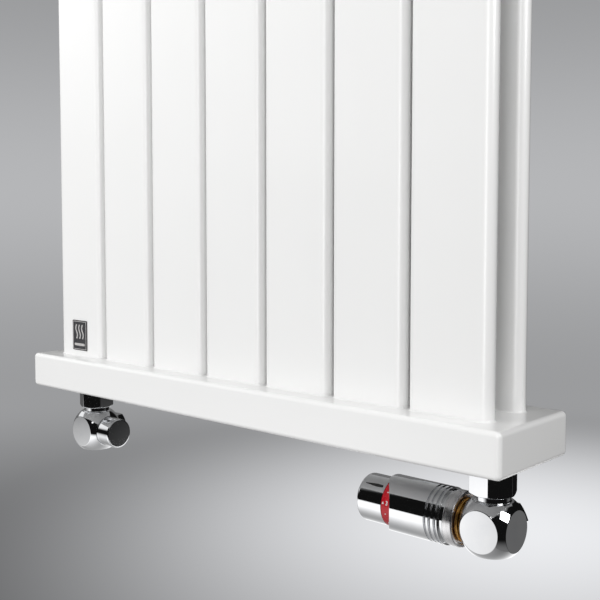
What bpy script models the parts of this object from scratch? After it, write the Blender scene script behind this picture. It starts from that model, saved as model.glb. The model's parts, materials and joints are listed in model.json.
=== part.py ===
"""Vertical flat-tube radiator with a thermostatic corner valve and a lockshield corner valve.

All sizes below are millimetres, and the helper functions turn them into metres.
Frame: X to the right along the radiator, Y towards the wall, Z up.
The origin is on the wall plane, in the middle of the width, level with the bottom header's underside.
"""

import math

import bmesh
import bpy
from mathutils import Matrix, Vector

MM = 0.001
GAP = 0.3  # clearance between touching pieces

# ---------------------------------------------------------------- driving sizes

TUBES_PER_ROW = 7
TUBE_PITCH = 74.0
TUBE_WIDTH = 70.0
TUBE_DEPTH = 15.0
TUBE_WALL = 1.5
ROW_GAP = 30.0  # clear space between the front row and the rear row
OVERALL_HEIGHT = 1800.0  # underside of the bottom header to the top of the top header

HEADER_HEIGHT = 34.0
HEADER_DEPTH = 100.0
HEADER_EDGE = 4.0  # radius along the header's long edges
HEADER_WALL = 2.5
HEADER_OVERHANG = 21.0  # header past the outer tubes
CAP_THICKNESS = 4.0
CAP_EDGE = 3.0
TUBE_INSERTION = 5.0  # how far a tube's end passes into its header

WALL_CLEARANCE = 35.0  # wall to the back of the headers
VALVE_SETBACK = 4.0  # valve axes sit this far behind the headers' centre line
VALVE_INSET = 36.0  # valve axes from the ends of the header
VALVE_DROP = 50.5  # valve centre below the header's underside
VALVE_HALF = 20.0  # half the distance across the body's flats
VALVE_SPHERE = 25.5  # the ball that rounds the body's corners
UNION_FLATS = 32.0
INLET_FLATS = 24.0
PIPE_RADIUS = 7.5  # 15 mm copper pipe

SLEEVE_RADIUS = 22.4
KNOB_RADIUS = 19.2
COLLAR_RADIUS = 21.5
KNOB_START = 89.0  # distances along the head, from the valve's vertical axis
HEAD_LENGTH = 114.0
WINDOW_ANGLE = 36.0  # slant of the sleeve's cut end, in degrees
WINDOW_START = 78.4  # where the slanted cut meets the front of the sleeve
CAP_RADIUS = 15.2
CAP_LENGTH = 38.5

# ---------------------------------------------------------------- derived places

STACK_WIDTH = (TUBES_PER_ROW - 1) * TUBE_PITCH + TUBE_WIDTH
HEADER_HALF = STACK_WIDTH / 2 + HEADER_OVERHANG
HEADER_BACK = -WALL_CLEARANCE
HEADER_MIDDLE = HEADER_BACK - HEADER_DEPTH / 2
ROW_OFFSET = (ROW_GAP + TUBE_DEPTH) / 2
VALVE_X = HEADER_HALF - VALVE_INSET
VALVE_Y = HEADER_MIDDLE + VALVE_SETBACK
TOP_HEADER_Z = OVERALL_HEIGHT - HEADER_HEIGHT
TUBE_BOTTOM = HEADER_HEIGHT - TUBE_INSERTION
TUBE_TOP = TOP_HEADER_Z + TUBE_INSERTION

# ---------------------------------------------------------------- scene and materials

for leftover in list(bpy.data.objects):
    bpy.data.objects.remove(leftover, do_unlink=True)

parts = bpy.data.collections.new("radiator_with_valve")
tools = bpy.data.collections.new("cutters_and_axes")
bpy.context.scene.collection.children.link(parts)
bpy.context.scene.collection.children.link(tools)


def material(name, colour, roughness, metallic=0.0):
    made = bpy.data.materials.new(name)
    made.use_nodes = True
    shader = made.node_tree.nodes["Principled BSDF"]
    shader.inputs["Base Color"].default_value = (*colour, 1.0)
    shader.inputs["Roughness"].default_value = roughness
    shader.inputs["Metallic"].default_value = metallic
    made.diffuse_color = (*colour, 1.0)
    return made


WHITE = material("white_powder_coat", (0.90, 0.90, 0.88), 0.25)
CHROME = material("polished_chrome", (0.75, 0.76, 0.78), 0.06, 1.0)
SATIN = material("satin_chrome", (0.62, 0.61, 0.62), 0.32, 1.0)
BRASS = material("brass", (0.72, 0.47, 0.18), 0.25, 1.0)
STEEL = material("stainless_steel", (0.60, 0.60, 0.60), 0.30, 1.0)
ZINC = material("zinc_plated_steel", (0.68, 0.69, 0.70), 0.40, 1.0)
RUBBER = material("black_rubber", (0.02, 0.02, 0.02), 0.70)
BLACK_PLASTIC = material("black_plastic", (0.03, 0.03, 0.03), 0.45)
RED_PLASTIC = material("red_plastic", (0.55, 0.02, 0.03), 0.35)
BADGE_METAL = material("dark_badge", (0.10, 0.10, 0.11), 0.35, 0.6)

# ---------------------------------------------------------------- outlines


def rounded_rectangle(width, height, radius, corner_steps):
    """Closed outline round (0, 0), anticlockwise, with arcs at its corners."""
    points = []
    for corner, (sign_x, sign_y) in enumerate(((1, 1), (-1, 1), (-1, -1), (1, -1))):
        centre_x = sign_x * (width / 2 - radius)
        centre_y = sign_y * (height / 2 - radius)
        for step in range(corner_steps + 1):
            angle = math.radians(90 * (corner + step / corner_steps))
            point = (centre_x + radius * math.cos(angle), centre_y + radius * math.sin(angle))
            if not points or math.dist(point, points[-1]) > 0.01:
                points.append(point)
    return points


def flat_oval(inset):
    """The section of a tube, or of its bore when inset by the wall. A negative inset makes its slot."""
    depth = TUBE_DEPTH - 2 * inset
    return rounded_rectangle(TUBE_WIDTH - 2 * inset, depth, depth / 2, 3)


def hexagon(across_flats):
    corner = across_flats / math.sqrt(3)
    angles = [math.radians(60 * side) for side in range(6)]
    return [(corner * math.cos(angle), corner * math.sin(angle)) for angle in angles]


# ---------------------------------------------------------------- ways of making a solid


def keep(obj, name, look, parent=None, location=(0, 0, 0), rotation=(0, 0, 0)):
    """Names and places an object and files it with the parts, or with the tools if it has no look."""
    obj.name = name
    obj.parent = parent
    obj.location = Vector(location) * MM
    obj.rotation_euler = [math.radians(angle) for angle in rotation]
    for home in list(obj.users_collection):
        home.objects.unlink(obj)
    if look is None:
        tools.objects.link(obj)
        obj.hide_render = True
        obj.display_type = "WIRE"
    else:
        parts.objects.link(obj)
        obj.data.materials.append(look)
    return obj


def axis(name, location, rotation):
    """An empty whose local Z axis is the centre line that turned pieces share."""
    return keep(bpy.data.objects.new(name, None), name, None, None, location, rotation)


def extruded(name, outlines, low, high, look, parent=None, location=(0, 0, 0), rotation=(0, 0, 0)):
    """A flat outline made thick along local Z from low to high. Any further outlines are holes in it."""
    curve = bpy.data.curves.new(name, "CURVE")
    curve.dimensions = "2D"
    curve.fill_mode = "BOTH"
    curve.extrude = (high - low) / 2 * MM
    for outline in outlines:
        spline = curve.splines.new("POLY")
        spline.points.add(len(outline) - 1)
        for point, (x, y) in zip(spline.points, outline):
            point.co = (x * MM, y * MM, 0, 1)
        spline.use_cyclic_u = True
    shape = bpy.data.objects.new(name, curve)
    bpy.context.scene.collection.objects.link(shape)
    graph = bpy.context.evaluated_depsgraph_get()
    mesh = bpy.data.meshes.new_from_object(shape.evaluated_get(graph))
    bpy.data.objects.remove(shape, do_unlink=True)
    welded = bmesh.new()
    welded.from_mesh(mesh)
    bmesh.ops.remove_doubles(welded, verts=welded.verts, dist=0.001 * MM)
    welded.to_mesh(mesh)
    welded.free()
    mesh.transform(Matrix.Translation((0, 0, (low + high) / 2 * MM)))
    return keep(bpy.data.objects.new(name, mesh), name, look, parent, location, rotation)


def turned(name, profile, look, parent, steps=24, location=(0, 0, 0), rotation=(0, 0, 0)):
    """A profile of (radius, distance along the axis), run down its outer side, turned about local Z.

    A profile whose ends lie on the axis makes a solid piece, and any other is closed and makes a ring.
    """
    mesh = bpy.data.meshes.new(name)
    points = [(radius * MM, 0, along * MM) for radius, along in profile]
    edges = [(k, k + 1) for k in range(len(points) - 1)]
    if profile[0][0] > 0:
        edges.append((len(points) - 1, 0))
    mesh.from_pydata(points, edges, [])
    made = keep(bpy.data.objects.new(name, mesh), name, look, parent, location, rotation)
    screw = made.modifiers.new("turn", "SCREW")
    screw.axis = "Z"
    screw.angle = math.tau
    screw.steps = screw.render_steps = steps
    screw.use_merge_vertices = True
    screw.merge_threshold = 0.01 * MM
    return made


def ring(low, high, inner, outer):
    """Profile of a plain ring."""
    return [(outer, high), (outer, low), (inner, low), (inner, high)]


def boolean(target, operation, *cutters):
    for cutter in cutters:
        step = target.modifiers.new(cutter.name, "BOOLEAN")
        step.operation = operation
        step.object = cutter
    return target


def rod(name, radius, low, high, parent, steps=24, location=(0, 0, 0), rotation=(0, 0, 0)):
    """A cutter: a plain cylinder along local Z."""
    profile = [(0, high), (radius, high), (radius, low), (0, low)]
    return turned(name, profile, None, parent, steps, location, rotation)


def hex_nut(name, across_flats, low, high, bore_profile, look, parent, turn):
    """A nut with chamfered corners: a turned blank, with its bore, cut to a hexagon."""
    corner = across_flats / math.sqrt(3) + 0.1
    face_radius = across_flats / 2 - 0.4
    drop = (corner - face_radius) * 0.6
    blank = [(face_radius, high), (corner, high - drop), (corner, low + drop), (face_radius, low)]
    nut = turned(name, blank + bore_profile, look, parent)
    outline = hexagon(across_flats)
    sides = extruded(name + "_sides", [outline], low - 1, high + 1, None, parent, rotation=(0, 0, turn))
    return boolean(nut, "INTERSECT", sides)


# ---------------------------------------------------------------- radiator

ALONG_X = (90, 0, 90)  # lays local X, Y, Z along the world's Y, Z, X
AGAINST_X = (90, 0, -90)
PLUG_THREAD = 10.3  # radius of the fittings' threads in the ends of the top header


def header_section(inset):
    radius = HEADER_EDGE - inset
    return rounded_rectangle(HEADER_DEPTH - 2 * inset, HEADER_HEIGHT - 2 * inset, radius, 3)


def tube_places():
    """Name and centre of each tube, row by row."""
    for row, side in (("front", -1), ("rear", 1)):
        for number in range(TUBES_PER_ROW):
            x = (number - (TUBES_PER_ROW - 1) / 2) * TUBE_PITCH
            yield f"tube_{row}_{number + 1}", x, HEADER_MIDDLE + side * ROW_OFFSET


def make_tubes():
    for name, x, y in tube_places():
        extruded(name, [flat_oval(0), flat_oval(TUBE_WALL)], TUBE_BOTTOM, TUBE_TOP, WHITE, location=(x, y, 0))


def make_header(level, base_z, tube_wall_z):
    """A rectangular collector with a slot for each tube, and its two end plates."""
    body_half = HEADER_HALF - CAP_THICKNESS - GAP
    middle = (0, HEADER_MIDDLE, base_z + HEADER_HEIGHT / 2)
    sections = [header_section(0), header_section(HEADER_WALL)]
    header = extruded("header_" + level, sections, -body_half, body_half, WHITE, None, middle, ALONG_X)
    low, high = tube_wall_z - 4, tube_wall_z + 4
    for name, x, y in tube_places():
        slot = extruded(f"slot_{level}_{name}", [flat_oval(-GAP)], low, high, None, location=(x, y, 0))
        boolean(header, "DIFFERENCE", slot)
    for side, sign, turn in (("left", -1, AGAINST_X), ("right", 1, ALONG_X)):
        face = (sign * (HEADER_HALF - CAP_THICKNESS), HEADER_MIDDLE, middle[2])
        name = f"header_cap_{level}_{side}"
        cap = extruded(name, [header_section(0)], 0, CAP_THICKNESS, WHITE, None, face, turn)
        soften_outer_face(cap)
        if level == "top":
            hole = rod(f"plug_hole_{side}", PLUG_THREAD + GAP, -5, 10, None, 24, face, turn)
            boolean(cap, "DIFFERENCE", hole)
    return header


def soften_outer_face(cap):
    """Rounds the edges round the outer face of an end plate."""
    shape = bmesh.new()
    shape.from_mesh(cap.data)
    outer = CAP_THICKNESS * MM - 1e-6
    rim = [edge for edge in shape.edges if all(corner.co.z > outer for corner in edge.verts)]
    rim = [edge for edge in rim if any(abs(face.normal.z) < 0.5 for face in edge.link_faces)]
    bmesh.ops.bevel(shape, geom=rim, offset=CAP_EDGE * MM, segments=3, profile=0.5, affect="EDGES")
    shape.to_mesh(cap.data)
    shape.free()


BADGE_WIDTH = 24.0
BADGE_HEIGHT = 31.0
BADGE_THICKNESS = 0.8
BADGE_LIFT = 6.0  # badge above the top of the bottom header


def make_badge():
    first_tube_x = -(TUBES_PER_ROW - 1) / 2 * TUBE_PITCH
    front = HEADER_MIDDLE - ROW_OFFSET - TUBE_DEPTH / 2
    place = (first_tube_x, front - GAP, HEADER_HEIGHT + BADGE_LIFT + BADGE_HEIGHT / 2)
    outline = rounded_rectangle(BADGE_WIDTH, BADGE_HEIGHT, 1.0, 2)
    extruded("badge", [outline], 0, BADGE_THICKNESS, BADGE_METAL, None, place, (90, 0, 0))


# ---------------------------------------------------------------- fittings in the ends of the top header

PLUG_FLANGE = 13.0
PLUG_HEAD = 5.0  # how far the flange stands out
PLUG_TIP = -12.0  # inner end of the thread
SCREW_RADIUS = 4.0
SCREW_HEAD = 3.5
SCREW_SHOULDER = -3.5
SCREW_TIP = -6.0
VENT_RADIUS = 3.0
VENT_KEY = 4.0  # side of the square key hole
BLIND_KEY = 10.0  # across the flats of the hexagon socket


def make_plugs():
    level = TOP_HEADER_Z + HEADER_HEIGHT / 2
    right = axis("vent_axis", (HEADER_HALF, HEADER_MIDDLE, level), (0, 90, 0))
    left = axis("blind_axis", (-HEADER_HALF, HEADER_MIDDLE, level), (0, -90, 0))
    flange_edge = [(PLUG_FLANGE - 1, PLUG_HEAD), (PLUG_FLANGE, PLUG_HEAD - 1), (PLUG_FLANGE, GAP)]
    shank = [(PLUG_THREAD, GAP), (PLUG_THREAD, PLUG_TIP)]
    screw_bore = SCREW_RADIUS + 0.2
    bore = [
        (VENT_RADIUS, PLUG_TIP), (VENT_RADIUS, SCREW_TIP), (screw_bore, SCREW_SHOULDER - 0.5),
        (screw_bore, PLUG_HEAD),
    ]
    turned("vent_plug", flange_edge + shank + bore, CHROME, right, 20)
    screw = [
        (0, SCREW_HEAD), (SCREW_RADIUS, SCREW_HEAD), (SCREW_RADIUS, SCREW_SHOULDER), (1, SCREW_TIP),
        (0, SCREW_TIP),
    ]
    vent_screw = turned("vent_screw", screw, BRASS, right, 16)
    key_outline = rounded_rectangle(VENT_KEY, VENT_KEY, 0.3, 1)
    square_key = extruded("vent_key_hole", [key_outline], SCREW_HEAD - 3, SCREW_HEAD + 1, None, right)
    boolean(vent_screw, "DIFFERENCE", square_key)
    socket = extruded("plug_socket", [hexagon(BLIND_KEY)], 0, PLUG_HEAD + 1, None, left)
    blind_profile = [(0, PLUG_HEAD)] + flange_edge + shank + [(0, PLUG_TIP)]
    blind = turned("blind_plug", blind_profile, CHROME, left, 20)
    boolean(blind, "DIFFERENCE", socket)


# ---------------------------------------------------------------- wall brackets

BRACKET_WIDTH = 40.0
BRACKET_X = 148.0
BRACKET_SCREW_RADIUS = 4.0
BRACKET_SCREWS = (22.0, 47.0)  # from the level of the bracket's arm
BRACKET_LONG = 60.0  # wall plate past the arm: towards the middle of the radiator, and the other way
BRACKET_SHORT = 15.0
BRACKET_SHEET = 3.0  # thickness of both pressings
ARM_LEVEL = -3.0  # from the level of the header's middle
ARM_UNDERSIDE = -13.0
ARM_REACH = 26.0
LIP_TOP = 4.0  # where the lug's hook rests on the bracket's lip
LUG_WIDTH = 24.0
LUG_HALF = 12.0  # half the height of the lug's plate
HOOK_FRONT = 18.0  # the lug's hook hangs this far from the wall
HOOK_LOW = -8.0


def lug_outline():
    """A plate on the back of the header with a hook that hangs down towards the wall, in (Y, Z)."""
    back = HEADER_BACK + GAP
    plate = HEADER_BACK + BRACKET_SHEET
    inside = -HOOK_FRONT - BRACKET_SHEET
    return [
        (back, -LUG_HALF), (plate, -LUG_HALF), (plate, LIP_TOP), (inside, LIP_TOP), (inside, HOOK_LOW),
        (-HOOK_FRONT, HOOK_LOW), (-HOOK_FRONT, LIP_TOP + BRACKET_SHEET), (plate, LIP_TOP + BRACKET_SHEET),
        (plate, LUG_HALF), (back, LUG_HALF),
    ]


def bracket_outline(plate_low, plate_high):
    """A wall plate with an arm that ends in an upright lip, in the lug's (Y, Z)."""
    arm_top = ARM_UNDERSIDE + BRACKET_SHEET
    lip_top = LIP_TOP - GAP
    lip_back = BRACKET_SHEET - ARM_REACH
    return [
        (0, plate_low), (0, plate_high), (-BRACKET_SHEET, plate_high), (-BRACKET_SHEET, arm_top),
        (lip_back, arm_top), (lip_back, lip_top), (-ARM_REACH, lip_top), (-ARM_REACH, ARM_UNDERSIDE),
        (-BRACKET_SHEET, ARM_UNDERSIDE), (-BRACKET_SHEET, plate_low),
    ]


def make_brackets():
    reach = BRACKET_WIDTH / 2
    lug_reach = LUG_WIDTH / 2
    for level, header_z, inwards in (("bottom", 0, 1), ("top", TOP_HEADER_Z, -1)):
        ends = sorted((ARM_LEVEL + inwards * BRACKET_LONG, ARM_LEVEL - inwards * BRACKET_SHORT))
        outline = bracket_outline(*ends)
        for side, x in (("left", -BRACKET_X), ("right", BRACKET_X)):
            middle_z = header_z + HEADER_HEIGHT / 2
            place = (x, 0, middle_z)
            name = f"{level}_{side}"
            extruded("lug_" + name, [lug_outline()], -lug_reach, lug_reach, WHITE, None, place, ALONG_X)
            bracket = extruded("bracket_" + name, [outline], -reach, reach, ZINC, None, place, ALONG_X)
            for distance in BRACKET_SCREWS:
                hole_place = (x, 0, middle_z + ARM_LEVEL + inwards * distance)
                hole_name = f"screw_hole_{name}_{distance:.0f}"
                hole = rod(hole_name, BRACKET_SCREW_RADIUS, -5, 5, None, 16, hole_place, (90, 0, 0))
                boolean(bracket, "DIFFERENCE", hole)


# ---------------------------------------------------------------- parts that both valves have

PORT_RADIUS = 6.5
CHAMBER_RADIUS = 11.0
SEAT_RADIUS = 5.5
SEAT = 2.0  # the seat's distance from the valve's vertical axis
SPIGOT_RADIUS = 13.2
INLET_RADIUS = 10.4
INLET_REACH = 25.5  # end of the inlet spigot, from the valve's vertical axis
INLET_NUT_LOW = VALVE_HALF + 1.5
INLET_NUT_HIGH = 30.5
SOCKET_DEPTH = 8.0  # how far the pipe goes into the inlet spigot
LIP_BORE = 10.8  # bore of the union nut's lip
LIP_THICKNESS = 4.0
UNION_TOP = -5.0  # heights below the header's underside
UNION_BOTTOM = -26.0
SPIGOT_TOP = -15.0
TAIL_FLANGE = 3.5
TAIL_TOP = 10.0


def make_valve_body(prefix, centre, upright, inlet, head_axis):
    """A cube whose corners are a ball's, with its two spigots, its passages and the seat's chamber."""
    bpy.ops.mesh.primitive_uv_sphere_add(segments=24, ring_count=12, radius=VALVE_SPHERE * MM)
    body = keep(bpy.context.object, prefix + "_body", CHROME, None, centre)
    bpy.ops.mesh.primitive_cube_add(size=2 * VALVE_HALF * MM)
    cube = keep(bpy.context.object, prefix + "_cube", None, None, centre)
    spigot = rod(prefix + "_spigot", SPIGOT_RADIUS, -VALVE_DROP, SPIGOT_TOP, upright, 28)
    inlet_spigot = rod(prefix + "_inlet_spigot", INLET_RADIUS, 0, INLET_REACH, inlet, 28)
    outlet_bore = rod(prefix + "_outlet_bore", PORT_RADIUS, PORT_RADIUS + 1 - VALVE_DROP, 0, upright)
    inlet_bore = rod(prefix + "_inlet_bore", PORT_RADIUS, -2, INLET_REACH + 5, inlet)
    socket_floor = INLET_REACH - SOCKET_DEPTH
    pipe_socket = rod(prefix + "_pipe_socket", PIPE_RADIUS + GAP, socket_floor, INLET_REACH + 5, inlet)
    seat_bore = rod(prefix + "_seat_bore", SEAT_RADIUS, -3, SEAT + 5, head_axis)
    chamber = rod(prefix + "_chamber", CHAMBER_RADIUS, SEAT, VALVE_HALF + 5, head_axis, 28)
    boolean(body, "INTERSECT", cube)
    boolean(body, "UNION", spigot, inlet_spigot)
    boolean(body, "DIFFERENCE", outlet_bore, inlet_bore, pipe_socket, seat_bore, chamber)


def make_union(prefix, upright, union_turn):
    """The flanged tailpiece in the header, the gasket under its flange and the nut that holds them."""
    lip = UNION_TOP - LIP_THICKNESS
    flange_top = lip - GAP
    flange_bottom = flange_top - TAIL_FLANGE
    tailpiece = [
        (INLET_RADIUS, TAIL_TOP), (INLET_RADIUS, flange_top), (SPIGOT_RADIUS, flange_top),
        (SPIGOT_RADIUS, flange_bottom), (PORT_RADIUS, flange_bottom), (PORT_RADIUS, TAIL_TOP),
    ]
    turned(prefix + "_tailpiece", tailpiece, CHROME, upright, 24)
    gasket = ring(SPIGOT_TOP + GAP, flange_bottom - GAP, PORT_RADIUS + 1, SPIGOT_RADIUS - 0.5)
    turned(prefix + "_gasket", gasket, RUBBER, upright, 20)
    bore_radius = SPIGOT_RADIUS + GAP
    bore = [(bore_radius, UNION_BOTTOM), (bore_radius, lip), (LIP_BORE, lip), (LIP_BORE, UNION_TOP)]
    hex_nut(prefix + "_union_nut", UNION_FLATS, UNION_BOTTOM, UNION_TOP, bore, CHROME, upright, union_turn)


def make_pipe_fitting(prefix, inlet):
    """The compression nut and olive that grip the pipe."""
    thread_bore = INLET_RADIUS + GAP
    pipe_bore = PIPE_RADIUS + GAP
    bore = [
        (thread_bore, INLET_NUT_LOW), (thread_bore, INLET_REACH + GAP), (pipe_bore, INLET_REACH + 3.4),
        (pipe_bore, INLET_NUT_HIGH),
    ]
    name = prefix + "_compression_nut"
    hex_nut(name, INLET_FLATS, INLET_NUT_LOW, INLET_NUT_HIGH, bore, CHROME, inlet, 0)
    thick_end = INLET_REACH + 2 * GAP
    thin_end = thick_end + 2
    olive = [
        (PIPE_RADIUS + 0.7, thin_end), (PIPE_RADIUS + 2, thick_end), (pipe_bore, thick_end),
        (pipe_bore, thin_end),
    ]
    turned(prefix + "_olive", olive, BRASS, inlet, 20)


def make_valve(prefix, x, union_turn, head_axis):
    """Everything that both valves have, round one vertical axis."""
    centre = (x, VALVE_Y, -VALVE_DROP)
    upright = axis(prefix + "_upright", (x, VALVE_Y, 0), (0, 0, 0))
    inlet = axis(prefix + "_inlet", centre, (-90, 0, 0))
    make_valve_body(prefix, centre, upright, inlet, head_axis)
    make_union(prefix, upright, union_turn)
    make_pipe_fitting(prefix, inlet)


# ---------------------------------------------------------------- inside the thermostatic valve
# Distances run outwards along the head, from the valve's vertical axis.

STEM_RADIUS = 2.0
STEM_CLEARANCE = 0.3
LIFT = 1.3  # the disc above its seat at the middle setting
DISC_RADIUS = 7.5
DISC_LOW = SEAT + LIFT
DISC_THICKNESS = 1.4
HOLDER_LOW = DISC_LOW + DISC_THICKNESS + GAP
HOLDER_HIGH = HOLDER_LOW + 1.2
INSERT_START = 8.0
INSERT_FLANGE_RADIUS = 17.0
INSERT_FLANGE_END = VALVE_HALF + 2.5
INSERT_BORE = 7.0
THREAD_RADIUS = 14.7
THREAD_END = 29.5
GLAND_START = 23.5
SPRING_RADIUS = 4.6
SPRING_WIRE = 0.45
SPRING_LOW = 11.3
SPRING_HIGH = 20.0
SPRING_TURNS = 4
SPRING_STEPS = 10  # straight stretches in a turn
SPRING_PLATE_RADIUS = 6.0
SPRING_PLATE_END = SPRING_HIGH + 1.8
STEM_END = 33.0


def make_thermostatic_insert(head):
    stem_bore = STEM_RADIUS + STEM_CLEARANCE
    spring_floor = SPRING_LOW - GAP
    body_face = VALVE_HALF + GAP
    insert = [
        (THREAD_RADIUS, THREAD_END), (THREAD_RADIUS, INSERT_FLANGE_END),
        (INSERT_FLANGE_RADIUS, INSERT_FLANGE_END), (INSERT_FLANGE_RADIUS, body_face),
        (CHAMBER_RADIUS - GAP, body_face), (CHAMBER_RADIUS - GAP, INSERT_START),
        (stem_bore, INSERT_START), (stem_bore, spring_floor), (INSERT_BORE, spring_floor),
        (INSERT_BORE, THREAD_END),
    ]
    turned("trv_insert", insert, BRASS, head)
    turned("trv_gland", ring(GLAND_START, THREAD_END, stem_bore, INSERT_BORE - GAP), BRASS, head, 16)
    stem = [
        (0, STEM_END), (STEM_RADIUS, STEM_END), (STEM_RADIUS, SPRING_PLATE_END),
        (SPRING_PLATE_RADIUS, SPRING_PLATE_END), (SPRING_PLATE_RADIUS, SPRING_HIGH + GAP),
        (STEM_RADIUS, SPRING_HIGH + GAP), (STEM_RADIUS, HOLDER_HIGH), (DISC_RADIUS, HOLDER_HIGH),
        (DISC_RADIUS, HOLDER_LOW), (0, HOLDER_LOW),
    ]
    turned("trv_spindle", stem, STEEL, head, 16)
    disc_high = DISC_LOW + DISC_THICKNESS
    disc = [(0, disc_high), (DISC_RADIUS, disc_high), (DISC_RADIUS, DISC_LOW), (0, DISC_LOW)]
    turned("trv_disc", disc, RUBBER, head, 20)
    make_spring(head)


def make_spring(head):
    """The return spring round the stem, with its wire's centre line on a helix."""
    coil = bpy.data.curves.new("trv_spring", "CURVE")
    coil.dimensions = "3D"
    coil.bevel_depth = SPRING_WIRE * MM
    coil.bevel_resolution = 1
    coil.use_fill_caps = True
    wire = coil.splines.new("POLY")
    count = SPRING_TURNS * SPRING_STEPS
    wire.points.add(count)
    first = SPRING_LOW + SPRING_WIRE
    climb = SPRING_HIGH - SPRING_LOW - 2 * SPRING_WIRE
    for step, point in enumerate(wire.points):
        angle = math.tau * step / SPRING_STEPS
        height = first + climb * step / count
        place = Vector((SPRING_RADIUS * math.cos(angle), SPRING_RADIUS * math.sin(angle), height))
        point.co = (*(place * MM), 1)
    keep(bpy.data.objects.new("trv_spring", coil), "trv_spring", STEEL, head)


# ---------------------------------------------------------------- thermostatic head

HUB_BORE = 15.2  # bore of the collar, and of the sleeve where it meets it
COLLAR_START = 22.8
COLLAR_END = 30.6
COLLAR_CHAMFER = 0.6
SLEEVE_START = COLLAR_END + GAP
SLEEVE_BORE = 20.0
GROOVE_DEPTH = 1.6
SLEEVE_SHOULDER = 34.4  # the sleeve's first stretch is as slim as its grooves
GROOVES = ((35.9, 37.9), (40.5, 42.5), (44.7, 46.7))
CHASSIS_END = KNOB_START - 0.5
CHASSIS_RADIUS = 17.0
CHASSIS_BORE = 14.2
CHASSIS_FLOOR = SLEEVE_START + 4.2
SCALE_START = 72.0
SENSOR_START = 60.0
SENSOR_END = 84.0
SENSOR_RADIUS = 11.0
SENSOR_WALL = 0.8
FILL_HOLE = 2.5  # radius of the hole in the capsule's outer end
KNOB_WALL = 2.0
KNOB_FLOOR = HEAD_LENGTH - 3.0
KNOB_EDGE = 2.5
KNOB_SPIGOT_START = 64.0


def make_head(head):
    collar = [
        (COLLAR_RADIUS - COLLAR_CHAMFER, COLLAR_END), (COLLAR_RADIUS, COLLAR_END - COLLAR_CHAMFER),
        (COLLAR_RADIUS, COLLAR_START + COLLAR_CHAMFER), (COLLAR_RADIUS - COLLAR_CHAMFER, COLLAR_START),
        (HUB_BORE, COLLAR_START), (HUB_BORE, COLLAR_END),
    ]
    turned("head_collar", collar, SATIN, head, 28)
    make_sleeve(head)
    scale_ring = ring(SCALE_START, KNOB_START - GAP, CHASSIS_RADIUS + 0.4, KNOB_RADIUS)
    turned("head_scale_ring", scale_ring, RED_PLASTIC, head, 28)
    neck = HUB_BORE - 0.4
    pin_hole = STEM_RADIUS + 0.5
    chassis = [
        (CHASSIS_RADIUS, CHASSIS_END), (CHASSIS_RADIUS, CHASSIS_FLOOR), (neck, CHASSIS_FLOOR),
        (neck, SLEEVE_START), (pin_hole, SLEEVE_START), (pin_hole, CHASSIS_FLOOR + 3),
        (CHASSIS_BORE, CHASSIS_FLOOR + 3), (CHASSIS_BORE, CHASSIS_END),
    ]
    turned("head_chassis", chassis, BLACK_PLASTIC, head, 24)
    make_knob(head)
    make_sensor(head)


def make_sleeve(head):
    """The grooved sleeve, whose outer end is cut off at a slant to show the scale ring."""
    slim = SLEEVE_RADIUS - GROOVE_DEPTH
    outside = [(SLEEVE_RADIUS, KNOB_START)]
    for low, high in reversed(GROOVES):
        outside += [(SLEEVE_RADIUS, high), (slim, high), (slim, low), (SLEEVE_RADIUS, low)]
    outside += [(SLEEVE_RADIUS, SLEEVE_SHOULDER), (slim, SLEEVE_SHOULDER), (slim, SLEEVE_START)]
    inside = [
        (HUB_BORE, SLEEVE_START), (HUB_BORE, SLEEVE_START + 2.5), (SLEEVE_BORE, SLEEVE_START + 4),
        (SLEEVE_BORE, KNOB_START),
    ]
    sleeve = turned("head_sleeve", outside + inside, CHROME, head, 32)
    slant = math.radians(WINDOW_ANGLE)
    reach = 60
    bpy.ops.mesh.primitive_cube_add(size=2 * reach * MM)
    knife = keep(bpy.context.object, "window_knife", None, head)
    knife.rotation_euler = (slant, 0, 0)
    front = Vector((0, -SLEEVE_RADIUS, WINDOW_START))
    knife.location = (front + Matrix.Rotation(slant, 3, "X") @ Vector((0, 0, reach))) * MM
    boolean(sleeve, "DIFFERENCE", knife)


def make_knob(head):
    """A cup that turns over the end of the chassis, with a spigot that screws into it."""
    inner = KNOB_RADIUS - KNOB_WALL
    spigot = CHASSIS_BORE - 0.4
    spigot_bore = spigot - KNOB_WALL
    knob = [(0, HEAD_LENGTH)]
    for step in range(4):
        angle = math.radians(90 - 30 * step)
        round_x = KNOB_RADIUS - KNOB_EDGE + KNOB_EDGE * math.cos(angle)
        knob.append((round_x, HEAD_LENGTH - KNOB_EDGE + KNOB_EDGE * math.sin(angle)))
    knob += [
        (KNOB_RADIUS, KNOB_START), (inner, KNOB_START), (inner, KNOB_FLOOR), (spigot, KNOB_FLOOR),
        (spigot, KNOB_SPIGOT_START), (spigot_bore, KNOB_SPIGOT_START), (spigot_bore, KNOB_FLOOR),
        (0, KNOB_FLOOR),
    ]
    turned("head_knob", knob, CHROME, head, 28)


def make_sensor(head):
    """The thin-walled capsule that swells with warmth, and the pin that it pushes."""
    shoulder = SENSOR_RADIUS - 2
    bore = SENSOR_RADIUS - SENSOR_WALL
    capsule = [
        (0, SENSOR_START + SENSOR_WALL), (bore, SENSOR_START + SENSOR_WALL), (bore, SENSOR_END - 2.3),
        (shoulder - 0.3, SENSOR_END - SENSOR_WALL), (FILL_HOLE, SENSOR_END - SENSOR_WALL),
        (FILL_HOLE, SENSOR_END), (shoulder, SENSOR_END), (SENSOR_RADIUS, SENSOR_END - 2),
        (SENSOR_RADIUS, SENSOR_START), (0, SENSOR_START),
    ]
    turned("head_sensor", capsule, BRASS, head, 20)
    pin_high, pin_low = SENSOR_START - GAP, STEM_END + GAP
    pin = [(0, pin_high), (STEM_RADIUS, pin_high), (STEM_RADIUS, pin_low), (0, pin_low)]
    turned("head_pin", pin, STEEL, head, 16)


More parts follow.
